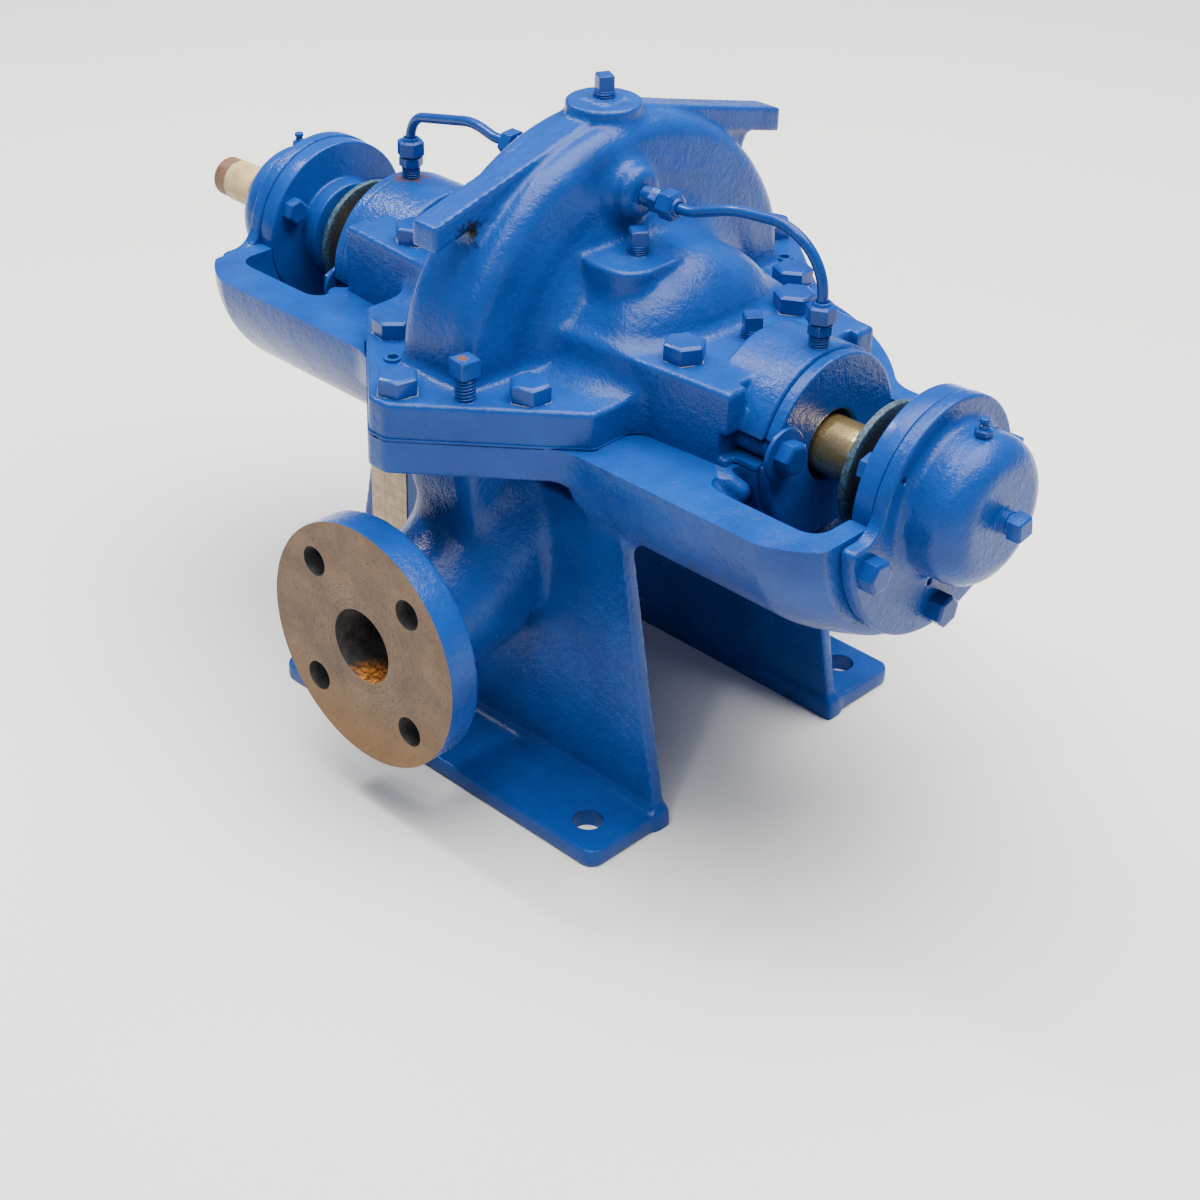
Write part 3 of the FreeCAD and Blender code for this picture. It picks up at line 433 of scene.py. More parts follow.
def inset(points, distance):
    """A convex outline, given anticlockwise, with every side moved inwards."""
    corners = []
    for i, point in enumerate(points):
        here = Vector(point)
        arriving = (here - Vector(points[i - 1])).normalized()
        leaving = (Vector(points[(i + 1) % len(points)]) - here).normalized()
        inwards = Vector((-arriving.y - leaving.y, arriving.x + leaving.x))
        corners.append(here + inwards * (distance / (1 + arriving.dot(leaving))))
    return corners


def flange_plate(low, high, edge, back=0.0):
    """The diamond flange with round corners, its sides set back a little where asked."""
    core = inset(FLANGE_OUTLINE, FLANGE_CORNER)

    def shape(x, y, z):
        return meet(polygon(x, y, core) - FLANGE_CORNER + back, between(z, low, high), edge)
    return shape


def volute(x, y, z):
    """Narrow wheel: a thick rim band, a shallow valley inside it and sides that widen to the hub."""
    r = hyp(y, z)
    wide = np.abs(x)
    band = meet(wide - VOLUTE_HALF, between(r, 0.104, VOLUTE_R), 0.012)
    web = meet(wide - WEB_HALF, r - VOLUTE_R + 0.010, 0.006)
    lean = 0.9 * (wide - WEB_HALF) + 0.42 * (r - 0.112)
    cheek = meet(meet(lean, wide - CHEEK_HALF, 0.010), r - VOLUTE_R + 0.018, 0.006)
    body = join(join(band, web, 0.010), cheek, 0.016)
    return meet(body, np.abs(y) - VOLUTE_SIDE_Y, 0.008)


def chamber(x, y, z):
    """Bell shaped suction chamber on both sides of the volute."""
    return meet(np.abs(x) - CHAMBER_HALF, hyp(y, z) - CHAMBER_R, 0.040)


def block(x, y, z):
    """Flat topped block with a slightly tapering plan."""
    return meet(polygon(x, y, BLOCK_OUTLINE), between(z, -0.01, BLOCK_TOP), 0.003)


def collar(x, y, z):
    return drum(np.abs(x), y, z, COLLAR_R, 0.130, COLLAR_END, 0.0015)


def end_pocket(x, y, z):
    """Step in the end of the block round the collar."""
    return meet(np.abs(y) - 0.048, between(np.abs(x), 0.152, 0.2), 0.001)


def stud_slot(x, y, z):
    """Open slots beside the collar for the gland bolts, one above the split and one below it."""
    level = z + np.sign(x) * np.sign(y) * STUD_AT[1]
    round_end = hyp(np.abs(y) - STUD_AT[0], level) - STUD_SLOT
    straight = np.maximum(between(np.abs(y), STUD_AT[0], 0.067), np.abs(level) - STUD_SLOT)
    return np.minimum(round_end, straight)


def casting_slots(cast):
    """Cut the gland bolt slots in the ends of a casting."""
    for low, high in ((-0.2, -0.153), (0.153, 0.2)):
        cast.cut(lambda x, y, z: np.maximum(stud_slot(x, y, z), between(x, low, high)),
                 (low, -0.09, -0.03), (high, 0.09, 0.03))


def horn(reach, side):
    """Lifting horn: a square bar that slopes down from the crown."""
    level = math.hypot(1.0, HORN_SLOPE)

    def shape(x, y, z):
        drop = (z - HORN_ROOT + HORN_SLOPE * side * y) / level
        bar = meet(np.abs(x) - HORN_HALF, between(drop, -HORN_DEPTH, 0.0), 0.0012)
        return meet(bar, between(side * y, -0.01, reach), 0.0015)
    return shape


def horn_web(reach, side):
    """Web that carries the horn on the rim."""
    tip = HORN_ROOT - HORN_SLOPE * reach
    points = ((0.0, 0.128), (side * (reach - 0.026), tip - 0.006), (side * (reach - 0.040), tip - 0.034),
              (0.0, 0.105))

    def shape(x, y, z):
        return meet(np.abs(x) - HORN_HALF + 0.002, polygon(y, z, points), 0.002)
    return shape


def top_boss(x, y, z):
    return meet(hyp(x, y) - BOSS_R, z - BOSS_TOP, 0.002)


def chamber_pad(x, y, z):
    """Raised pad with round corners on the bell."""
    inner = (np.maximum(np.abs(x - PAD_AT[0]) - 0.006, 0), np.maximum(np.abs(y - PAD_AT[1]) - 0.007, 0))
    return meet(hyp(*inner) - 0.019, between(z, 0.040, PAD_TOP), 0.002)


def tap_boss(x, y, z):
    """Round boss on the cheek for the flush tube."""
    return meet(hyp(y - TAP_AT[0], z - TAP_AT[1]) - 0.016, x - TAP_FACE - 0.0005, 0.007)


def upper_casting():
    """Upper casing as cast, for positive X. The other half mirrors it."""
    cast = Casting((0.0, -0.190, -0.012), (0.184, 0.190, 0.164), STEP)
    cast.add(flange_plate(-0.01, FLANGE_TOP, 0.002, FLANGE_BACK), (-0.1, -0.18, -0.01), (0.1, 0.18, 0.03))
    cast.add(volute, (-0.05, -0.14, -0.01), (0.05, 0.14, 0.15), 0.007)
    cast.add(chamber, (-0.11, -0.09, -0.01), (0.11, 0.09, 0.09), 0.014)
    cast.add(block, (-0.16, -0.08, -0.01), (0.16, 0.08, 0.05), 0.008)
    cast.add(chamber_pad, (0.02, -0.06, 0.03), (0.08, 0.005, 0.085), 0.004)
    cast.add(tap_boss, (0.0, -0.03, 0.09), (0.05, 0.01, 0.13), 0.010)
    for side, reach in HORN_REACH:
        low, high = sorted((-side * 0.02, side * (reach + 0.005)))
        cast.add(horn_web(reach, side), (-0.01, low, 0.07), (0.01, high, 0.15), 0.008)
        cast.add(horn(reach, side), (-0.01, low, 0.09), (0.01, high, 0.155), 0.0035)
    cast.add(top_boss, (-0.03, -0.03, 0.12), (0.03, 0.03, 0.155), 0.004)
    cast.cut(end_pocket, (0.148, -0.05, -0.02), (0.19, 0.05, 0.09), 0.001)
    cast.add(collar, (0.13, -0.06, -0.01), (0.18, 0.06, 0.06), 0.0015)
    return cast


def ellipse(y, z, a, b):
    """Near distance to an ellipse about the shaft axis."""
    k0 = np.maximum(hyp(y / a, z / b), 1e-6)
    k1 = hyp(y / (a * a), z / (b * b))
    return k0 * (k0 - 1.0) / np.maximum(k1, 1e-6)


def arm(x, y, z):
    """Bearing arm: a trough of half elliptic section that narrows at its end."""
    narrow = np.clip((x - ARM_NARROWS) / (ARM_END - ARM_NARROWS), 0, 1)
    narrow = narrow * narrow * 0.6 + narrow * 0.4
    body = ellipse(y, z, ARM_HALF_WIDTH - 0.019 * narrow, ARM_DEPTH - 0.004 * narrow)
    body = meet(body, y - ARM_REAR_Y, 0.006)
    return meet(body, between(x, ARM_START, ARM_END), 0.0015)


def arm_well(x, y, z):
    """Open well round the gland."""
    across = between(y, -0.087, 0.070)
    along = between(x, WELL_START, HOUSING_START)
    plan = meet(across, along, 0.014)
    return meet(plan, ellipse(y, z, 0.091, 0.075), 0.010)


def rear_ledge(x, y, z):
    """The wider rear edge of the lower flange, curved in plan."""
    edge = hyp(x - 0.020, y + 0.030) - 0.183
    plan = np.maximum(edge, np.maximum(y - 0.147, x - 0.168))
    return meet(np.maximum(plan, -y), between(z, -FLANGE_THICK, 0.01), 0.002)


def pipe_flange(x, y, z):
    """Pipe flanges, 4 mm too thick at the face, which is machined off later."""
    along = between(np.abs(y), PIPE_FACE - PIPE_FLANGE_THICK, PIPE_FACE + 0.004)
    return meet(hyp(x, z + PIPE_DROP) - PIPE_FLANGE_R, along, 0.0012)


def pipe_neck(x, y, z):
    """Nozzle neck that swells and rises from the pipe flange into the volute."""
    wide = np.abs(y)
    straight = np.maximum(hyp(x, z + PIPE_DROP) - NECK_R, between(wide, 0.10, PIPE_FACE - 0.005))
    rise = capsule(x, wide, z, (0, 0.150, -PIPE_DROP), (0, 0.072, -0.088), 0.036, 0.050)
    return join(straight, rise, 0.02)


def foot_web(x, y, z):
    """Upright web of a foot, wider at the floor."""
    sides = ((0.142, -SHAFT_Z), (0.104, WEB_TOP), (-0.104, WEB_TOP), (-0.142, -SHAFT_Z))
    return meet(polygon(x, z, sides), between(np.abs(y), *WEB_Y), 0.0015)


def foot_plate(x, y, z):
    """Flat foot with round corners, from its web outwards."""
    inner_x = np.maximum(np.abs(x) - 0.133, 0)
    inner_y = np.maximum(np.abs(y) - 0.134, 0)
    plan = np.maximum(hyp(inner_x, inner_y) - 0.009, WEB_Y[0] - np.abs(y))
    return meet(plan, between(z, -SHAFT_Z, FOOT_THICK - SHAFT_Z), 0.0015)


def lower_collar(x, y, z):
    return drum(x, y, z, COLLAR_R, COLLAR_START, COLLAR_END, 0.0015)


def core(x, y, z):
    """Body between the well and the bell."""
    return meet(np.maximum(hyp(y, z) - 0.079, np.abs(y) - BLOCK_MIDDLE_Y), np.abs(x) - WELL_START, 0.004)


def well_lug(x, y, z):
    """Rough lug in the front corner of the well."""
    low = capsule(x, y, z, (0.160, -0.081, -0.012), (0.168, -0.072, -0.020), 0.009, 0.008)
    high = capsule(x, y, z, (0.163, -0.068, -0.006), (0.170, -0.064, -0.010), 0.007, 0.006)
    return join(low, high, 0.003)


def lower_casting():
    """Lower casing as cast, for positive X. The other half mirrors it."""
    cast = Casting((0.0, -0.202, -SHAFT_Z - 0.004), (0.258, 0.202, 0.012), STEP)
    cast.add(flange_plate(-FLANGE_THICK - GASKET / 2, 0.01, 0.002), (-0.1, -0.18, -0.03), (0.1, 0.18, 0.01))
    cast.add(rear_ledge, (-0.1, 0.0, -0.03), (0.17, 0.15, 0.01), 0.003)
    cast.add(volute, (-0.05, -0.14, -0.15), (0.05, 0.14, 0.01), 0.007)
    cast.add(chamber, (-0.11, -0.09, -0.09), (0.11, 0.09, 0.01), 0.014)
    cast.add(core, (0.0, -0.08, -0.08), (0.165, 0.08, 0.01), 0.006)
    cast.add(arm, (0.08, -0.115, -0.09), (0.255, 0.09, 0.0), 0.008)
    cast.cut(arm_well, (0.155, -0.09, -0.08), (0.245, 0.075, 0.02), 0.002)
    cast.add(lower_collar, (0.15, -0.06, -0.06), (0.18, 0.06, 0.01), 0.004)
    cast.add(well_lug, (0.15, -0.095, -0.035), (0.18, -0.05, 0.0), 0.004)
    cast.add(pipe_neck, (-0.05, -0.20, -0.19), (0.05, 0.20, -0.03), 0.014)
    cast.add(pipe_flange, (-0.08, -0.20, -0.22), (0.08, 0.20, -0.05), 0.006)
    cast.add(foot_web, (-0.145, -0.09, -SHAFT_Z), (0.145, 0.09, -0.04), 0.008)
    cast.add(foot_plate, (-0.145, -0.145, -SHAFT_Z), (0.145, 0.145, 0.012 - SHAFT_Z), 0.007)
    cast.cut(lambda x, y, z: drum(x, y, z, HOUSING_SEAT_R, HOUSING_START - 0.001, 0.3, 0),
             (0.235, -0.06, -0.06), (0.26, 0.06, 0.02))
    return cast


def mirrored(cast):
    """Both halves of a casting whose grid starts at X = 0."""
    cast.d = np.concatenate([cast.d[:0:-1], cast.d])
    cast.axes[0] = np.concatenate([-cast.axes[0][:0:-1], cast.axes[0]])
    return cast


def pipe_hole_places():
    """Centres of the four bolt holes of a pipe flange, as (x, z)."""
    turns = [math.radians(45 + 90 * i) for i in range(4)]
    return [(PIPE_CIRCLE * math.cos(t), PIPE_CIRCLE * math.sin(t) - PIPE_DROP) for t in turns]


def flange_arcs(depth):
    """The flange's round corners moved inwards by a depth, each as a row of points."""
    core = inset(FLANGE_OUTLINE, FLANGE_CORNER)
    arcs = []
    for i, here in enumerate(core):
        sides = (here - core[i - 1], core[(i + 1) % len(core)] - here)
        first, last = (math.atan2(-side.x, side.y) for side in sides)
        turns = [first + (last - first) % (2 * math.pi) * k / 6 for k in range(7)]
        radius = FLANGE_CORNER - depth
        arcs.append([(here.x + radius * math.cos(t), here.y + radius * math.sin(t)) for t in turns])
    return arcs


@meshed
def split_groove(bm):
    """Strips that cut a fine groove under the gasket, round both tips and along the slanting sides."""
    low, high = -GASKET / 2 - 0.0010, 0.001
    inner, outer = flange_arcs(0.0009), flange_arcs(-0.0008)
    for first in (3, 7):
        rings = [[(*a, low), (*b, low), (*b, high), (*a, high)]
                 for k in range(4) for a, b in zip(inner[(first + k) % 8], outer[(first + k) % 8])]
        skin(bm, Matrix.Identity(4), rings)


def upper_tools():
    """Split plane, then the dowel and jackscrew holes and the stuffing boxes."""
    plane = bmesh.new()
    add_box(plane, (-0.3, -0.3, -0.1), (0.3, 0.3, GASKET / 2))
    holes = bmesh.new()
    for sign in (-1, 1):
        add_rod(holes, (sign * DOWEL_AT[0], sign * DOWEL_AT[1], 0.004), (0, 0, 1), 0.04, DOWEL_R, 24)
        add_rod(holes, (-sign * JACK_AT[0], sign * JACK_AT[1], 0.004), (0, 0, 1), 0.04, JACK_R + 0.0003, 40)
        add_rod(holes, (sign * 0.114, 0, 0), (sign, 0, 0), 0.08, STUFFING_R, 64)
    return from_bmesh("split", plane), from_bmesh("holes", holes)


def lower_tools():
    """Split, floor and pipe flange faces, the split groove, then bores, bolt holes and foot holes."""
    faces = bmesh.new()
    add_box(faces, (-0.4, -0.4, -GASKET / 2), (0.4, 0.4, 0.1))
    add_box(faces, (-0.4, -0.4, -0.4), (0.4, 0.4, -SHAFT_Z))
    bm = bmesh.new()
    for side in (-1, 1):
        low, high = sorted((side * PIPE_FACE, side * 0.3))
        add_box(faces, (-0.1, low, -0.24), (0.1, high, -0.04))
        add_rod(bm, (side * 0.114, 0, 0), (side, 0, 0), 0.08, STUFFING_R, 64)
        inward = (0, -side, 0)
        add_rod(bm, (0, side * 0.25, -PIPE_DROP), inward, 0.165, PIPE_BORE_R, 64)
        for across, up in pipe_hole_places():
            add_rod(bm, (across, side * 0.25, up), inward, 0.086, PIPE_HOLE_R, 40)
        for end in (-1, 1):
            add_rod(bm, (end * FOOT_HOLE[0], side * FOOT_HOLE[1], -SHAFT_Z - 0.02), (0, 0, 1), 0.04,
                    FOOT_HOLE_R, 40)
    return from_bmesh("faces", faces), split_groove(), from_bmesh("holes", bm)


# Materials

class Nodes:
    """Short hand for building a node tree."""

    def __init__(self, name):
        self.material = bpy.data.materials.new(name)
        self.material.use_nodes = True
        self.tree = self.material.node_tree
        self.shader = self.tree.nodes["Principled BSDF"]
        self.place = self.add("ShaderNodeTexCoord").outputs["Object"]

    def add(self, kind, **values):
        node = self.tree.nodes.new(kind)
        for key, value in values.items():
            if hasattr(node, key):
                setattr(node, key, value)
            else:
                node.inputs[key.replace("_", " ")].default_value = value
        return node

    def link(self, value, socket):
        """Feed a socket with another node's output or with a plain value."""
        if isinstance(value, (int, float, tuple)):
            socket.default_value = value
        elif value is not None:
            self.tree.links.new(value, socket)

    def noise(self, scale, detail=3.0, rough=0.5, stretch=None):
        node = self.add("ShaderNodeTexNoise", Scale=scale, Detail=detail, Roughness=rough)
        source = self.place
        if stretch:
            mapping = self.add("ShaderNodeMapping", Scale=stretch)
            self.link(self.place, mapping.inputs["Vector"])
            source = mapping.outputs["Vector"]
        self.link(source, node.inputs["Vector"])
        return node.outputs["Fac"]

    def patches(self, low, high, scale, detail=3.0, rough=0.5, stretch=None):
        """Mask of ragged patches: noise with its contrast raised."""
        return self.ramp(self.noise(scale, detail, rough, stretch), low, high)

    def ramp(self, value, low, high, start=(0, 0, 0, 1), end=(1, 1, 1, 1)):
        node = self.add("ShaderNodeValToRGB")
        node.color_ramp.elements[0].position = low
        node.color_ramp.elements[1].position = high
        node.color_ramp.elements[0].color = start
        node.color_ramp.elements[1].color = end
        self.link(value, node.inputs["Fac"])
        return node.outputs["Color"]

    def math(self, operation, *values):
        node = self.add("ShaderNodeMath", operation=operation)
        for socket, value in zip(node.inputs, values):
            self.link(value, socket)
        return node.outputs[0]

    def mix(self, factor, a, b):
        node = self.add("ShaderNodeMix", data_type="RGBA")
        for number, value in ((0, factor), (6, a), (7, b)):
            self.link(value, node.inputs[number])
        return node.outputs[2]

    def over(self, tone, mask, share, colour):
        """A tone with a share of a colour laid over it where the mask is white."""
        return self.mix(self.math("MULTIPLY", mask, share), tone, colour)

    def bump(self, height, strength, distance, normal=None):
        node = self.add("ShaderNodeBump", Strength=strength, Distance=distance)
        self.link(height, node.inputs["Height"])
        self.link(normal, node.inputs["Normal"])
        return node.outputs["Normal"]

    def split(self, vector):
        node = self.add("ShaderNodeSeparateXYZ")
        self.link(vector, node.inputs[0])
        return node.outputs

    def made(self, tone, rough, normal=None, metallic=0.0, specular=0.5):
        """The material with its colour, roughness, relief and shine."""
        values = {"Base Color": tone, "Roughness": rough, "Normal": normal, "Metallic": metallic,
                  "Specular IOR Level": specular}
        for socket, value in values.items():
            self.link(value, self.shader.inputs[socket])
        return self.material


def near(n, place, radius, ragged):
    """Mask about a place in the object, with a ragged edge."""
    away = n.add("ShaderNodeVectorMath", operation="DISTANCE")
    n.link(n.place, away.inputs[0])
    n.link(place, away.inputs[1])
    edge = n.math("MULTIPLY_ADD", n.noise(2.2 / radius, 4, 0.65), 2 * ragged * radius, -ragged * radius)
    shifted = n.math("ADD", away.outputs["Value"], edge)
    return n.ramp(n.math("DIVIDE", shifted, radius), 0.55, 1.0, (1, 1, 1, 1), (0, 0, 0, 1))


def paint(name, colour, grain, marks=()):
    """Glossy enamel brushed over metal, tan on faces that look down as a painted warm reflection of the ground,
    with marks of rust and chips.
    """
    n = Nodes(name)
    dark = tuple(c * 0.78 for c in colour[:3]) + (1,)
    pale = (colour[0] * 1.35, colour[1] * 1.2, colour[2] * 1.12, 1)
    tone = n.mix(n.patches(0.32, 0.72, 24, 5, 0.6), dark, pale)
    worn = n.math("MULTIPLY", n.patches(0.56, 0.74, 30, 7, 0.72), 0.22)
    tone = n.mix(worn, tone, (0.05, 0.10, 0.24, 1))
    # Faces that look down are tinted tan: a painted warm reflection of the ground beneath, not dust.
    facing = n.split(n.add("ShaderNodeNewGeometry").outputs["Normal"])
    painted_ground_reflection = n.ramp(n.math("MULTIPLY", facing["Z"], -1.0), 0.15, 0.9)
    painted_ground_reflection = n.math("MULTIPLY", painted_ground_reflection, n.patches(0.3, 0.7, 9, 6, 0.7))
    tone = n.over(tone, painted_ground_reflection, 0.55, (0.105, 0.080, 0.060, 1))
    tone = n.over(tone, n.patches(0.77, 0.80, 240, 2), 0.5, (0.05, 0.045, 0.05, 1))
    rough = n.math("MULTIPLY_ADD", n.noise(70, 4), 0.16, 0.13)
    rough = n.math("ADD", rough, n.math("MULTIPLY", worn, 0.7))
    for place, radius, mark in marks:
        mask = near(n, place, radius, 1.4)
        tone = n.mix(mask, tone, mark)
        rough = n.math("MAXIMUM", rough, n.math("MULTIPLY", mask, 0.4))
    normal = n.bump(n.noise(620, 3, 0.6), 0.50 * grain, 0.0006)
    normal = n.bump(n.noise(250, 3, 0.55), 0.50 * grain, 0.0009, normal)
    return n.made(tone, rough, n.bump(n.noise(40, 2), 0.25 * grain, 0.0028, normal), specular=0.21)


def rusty_steel():
    """Bare shaft steel, brown with rust in streaks along it."""
    n = Nodes("shaft_steel")
    grain = n.noise(90, 6, 0.65, (0.4, 1, 1))
    tone = n.mix(n.ramp(grain, 0.35, 0.65), (0.085, 0.045, 0.028, 1), (0.22, 0.125, 0.075, 1))
    tone = n.mix(n.patches(0.55, 0.70, 153, 5, 0.7), tone, (0.045, 0.028, 0.022, 1))
    rough = n.math("MULTIPLY_ADD", n.noise(180, 4), 0.25, 0.48)
    return n.made(tone, rough, n.bump(n.noise(720, 3), 0.25, 0.0003, n.bump(grain, 0.3, 0.0006)), 0.35)


def turned_face():
    """Bare iron pipe face: turned rings round the bore, brown film, gold rust towards the floor."""
    n = Nodes("bare_face")
    where = n.split(n.place)
    rise = n.math("SUBTRACT", where["Z"], SHAFT_Z - PIPE_DROP)
    flat = n.add("ShaderNodeCombineXYZ")
    n.link(where["X"], flat.inputs[0])
    n.link(rise, flat.inputs[1])
    length = n.add("ShaderNodeVectorMath", operation="LENGTH")
    n.link(flat.outputs[0], length.inputs[0])
    radius = length.outputs["Value"]
    wobble = n.math("MULTIPLY_ADD", n.noise(28, 3), 0.010, radius)
    rings = n.add("ShaderNodeTexNoise", noise_dimensions="1D", Scale=620.0, Detail=4.0, Roughness=0.6)
    n.link(wobble, rings.inputs["W"])
    fine = n.add("ShaderNodeTexNoise", noise_dimensions="1D", Scale=2600.0, Detail=2.0)
    n.link(radius, fine.inputs["W"])
    tone = n.mix(n.patches(0.3, 0.7, 40, 6, 0.65), (0.090, 0.052, 0.030, 1), (0.200, 0.115, 0.058, 1))
    close = n.ramp(radius, 0.030, 0.056, (1, 1, 1, 1), (0.12, 0.12, 0.12, 1))
    dark = n.math("MULTIPLY", n.ramp(rings.outputs["Fac"], 0.48, 0.62), close)
    tone = n.over(tone, dark, 0.65, (0.060, 0.048, 0.042, 1))
    gold = n.ramp(n.math("SUBTRACT", n.math("MULTIPLY", n.noise(55, 5, 0.7), 0.06), rise), 0.055, 0.100)
    tone = n.over(tone, gold, 0.75, (0.200, 0.098, 0.024, 1))
    tone = n.over(tone, n.patches(0.61, 0.67, 480, 2), 0.7, (0.040, 0.026, 0.018, 1))
    rough = n.math("MULTIPLY_ADD", n.noise(90, 4), 0.25, 0.40)
    normal = n.bump(fine.outputs["Fac"], 0.25, 0.0003)
    normal = n.bump(rings.outputs["Fac"], 0.20, 0.0006, normal)
    return n.made(tone, rough, n.bump(n.noise(420, 3), 0.35, 0.0004, normal), specular=0.25)


def bore_skin():
    """Inside of the waterway and bolt holes: dark iron, darkened to near black as painted shade inside the holes,
    with orange rust at the lip of the bore.
    """
    n = Nodes("bore_skin")
    # The near black tone is partly the iron's own colour and partly painted shade inside the deep holes.
    tone = n.mix(n.patches(0.35, 0.7, 120, 5, 0.7), (0.012, 0.011, 0.013, 1), (0.075, 0.068, 0.066, 1))
    flakes = n.ramp(n.noise(330, 4, 0.7), 0.44, 0.58, (0.16, 0.045, 0.006, 1), (0.80, 0.31, 0.05, 1))
    for side in (-1, 1):
        lip = (0.004, side * (PIPE_FACE - 0.006), SHAFT_Z - PIPE_DROP - PIPE_BORE_R)
        tone = n.mix(near(n, lip, 0.0185, 0.30), tone, flakes)
    return n.made(tone, 0.65, n.bump(n.noise(300, 4, 0.7), 0.6, 0.001))


def brass():
    """Worn brass sleeve, brighter and darker in streaks along its length and stained brown and black in patches.
    """
    n = Nodes("sleeve_brass")
    along = n.patches(0.35, 0.65, 90, 4, 0.6, (0.12, 1.0, 1.0))
    tone = n.mix(along, (0.80, 0.52, 0.16, 1), (1.0, 0.76, 0.34, 1))
    stain = n.patches(0.56, 0.70, 95, 6, 0.72)
    tone = n.over(tone, stain, 0.7, (0.10, 0.06, 0.025, 1))
    rough = n.math("MULTIPLY_ADD", stain, 0.25, 0.18)
    normal = n.bump(n.noise(140, 3, 0.5, (4.0, 0.5, 0.5)), 0.25, 0.0004)
    return n.made(tone, rough, n.bump(n.noise(60, 2), 0.3, 0.001, normal), 0.9)


def rubber():
    """Black rubber slinger whose rim is a band of lighter teal flecks, a painted highlight on its edge."""
    n = Nodes("slinger_rubber")
    rubber_tone = n.mix(n.noise(180, 4), (0.006, 0.008, 0.010, 1), (0.016, 0.022, 0.026, 1))
    # Lighter teal flecks laid on the rim only: a painted highlight along the slinger's edge.
    rim_highlight_flecks = n.ramp(n.noise(520, 3, 0.6), 0.42, 0.58, (0.008, 0.024, 0.040, 1), (0.030, 0.095, 0.150, 1))
    where = n.split(n.place)
    rise = n.math("SUBTRACT", where["Z"], SHAFT_Z)
    squares = [n.math("POWER", value, 2.0) for value in (where["Y"], rise)]
    radius = n.math("SQRT", n.math("ADD", *squares))
    tone = n.mix(n.ramp(radius, 0.0380, 0.0394), rubber_tone, rim_highlight_flecks)
    return n.made(tone, 0.55, n.bump(n.noise(420, 3, 0.6), 0.6, 0.0008))


def tape():
    """Old cream tape with brown dirt in its creases, worn through to rust next to the cover."""
    n = Nodes("tape")
    tone = n.mix(n.patches(0.35, 0.7, 70, 5, 0.6), (0.36, 0.27, 0.115, 1), (0.56, 0.45, 0.22, 1))
    tone = n.over(tone, n.patches(0.60, 0.68, 150, 6, 0.75, (0.5, 1, 1)), 0.8, (0.16, 0.10, 0.05, 1))
    edge = n.math("ADD", n.split(n.place)["X"], n.math("MULTIPLY", n.noise(160, 4, 0.6), 0.004))
    bare = n.ramp(n.math("SUBTRACT", edge, TAPE_WORN_X), 0.0, 0.0012)
    rust = n.mix(n.noise(300, 4, 0.7), (0.05, 0.03, 0.02, 1), (0.17, 0.10, 0.055, 1))
    return n.made(n.mix(bare, tone, rust), 0.6, n.bump(n.noise(260, 4, 0.6, (0.3, 1, 1)), 0.5, 0.0006))


def plate_skin():
    """Bare etched plate with ruled rows, brown with age."""
    n = Nodes("plate_metal")
    shift = n.add("ShaderNodeMapping", Rotation=(math.pi / 2, 0, 0))
    n.link(n.place, shift.inputs["Vector"])
    rows = n.add("ShaderNodeTexBrick", offset=0.0, Scale=1.0, Brick_Width=0.0165, Row_Height=0.0075,
                 Mortar_Size=0.00022, Color1=(0, 0, 0, 1), Color2=(0, 0, 0, 1), Mortar=(1, 1, 1, 1))
    n.link(shift.outputs["Vector"], rows.inputs["Vector"])
    tone = n.mix(n.patches(0.35, 0.7, 120, 6, 0.7), (0.34, 0.235, 0.125, 1), (0.60, 0.46, 0.30, 1))
    tone = n.over(tone, rows.outputs["Color"], 0.6, (0.09, 0.06, 0.045, 1))
    return n.made(tone, 0.5, n.bump(n.noise(500, 3), 0.25, 0.0002), 0.2)


def crack_line():
    """Cream coloured line where the paint has split round the foot of a bolt head."""
    n = Nodes("crack_line")
    tone = n.mix(n.patches(0.47, 0.62, 120, 3, 0.6), BOLT_BLUE, (0.30, 0.27, 0.19, 1))
    return n.made(tone, 0.6, n.bump(n.noise(600, 2), 0.3, 0.0002))


def floor_skin():
    """Pale matt ground."""
    n = Nodes("floor_skin")
    tone = n.mix(n.noise(3, 3), (0.74, 0.735, 0.72, 1), (0.77, 0.765, 0.75, 1))
    return n.made(tone, 0.85, specular=0.1)


# Turned and threaded pieces, built about their own Z axis and stood in place

def stand(at, direction, turn=0.0):
    """Where a piece stands: its foot at a point, its own Z axis along a direction."""
    aim = Vector(direction).to_track_quat("Z", "X").to_matrix().to_4x4()
    return Matrix.Translation(at) @ aim @ Matrix.Rotation(turn, 4, "Z")


def skin(bm, where, rings, material=0, open_bore=False):
    """Faces between rings of points, closed by end caps or, round a bore, by the last ring to the first."""
    rows = [[bm.verts.new(where @ Vector(p)) for p in ring] for ring in rings]
    pairs = list(zip(rows, rows[1:])) + ([(rows[-1], rows[0])] if open_bore else [])
    faces = [bm.faces.new((low[i - 1], low[i], high[i], high[i - 1]))
             for low, high in pairs for i in range(len(low))]
    if not open_bore:
        faces += [bm.faces.new(rows[0][::-1]), bm.faces.new(rows[-1])]
    for face in faces:
        face.material_index = material


def circle(radius, z, around):
    turns = [2 * math.pi * i / around for i in range(around)]
    return [(radius * math.cos(t), radius * math.sin(t), z) for t in turns]


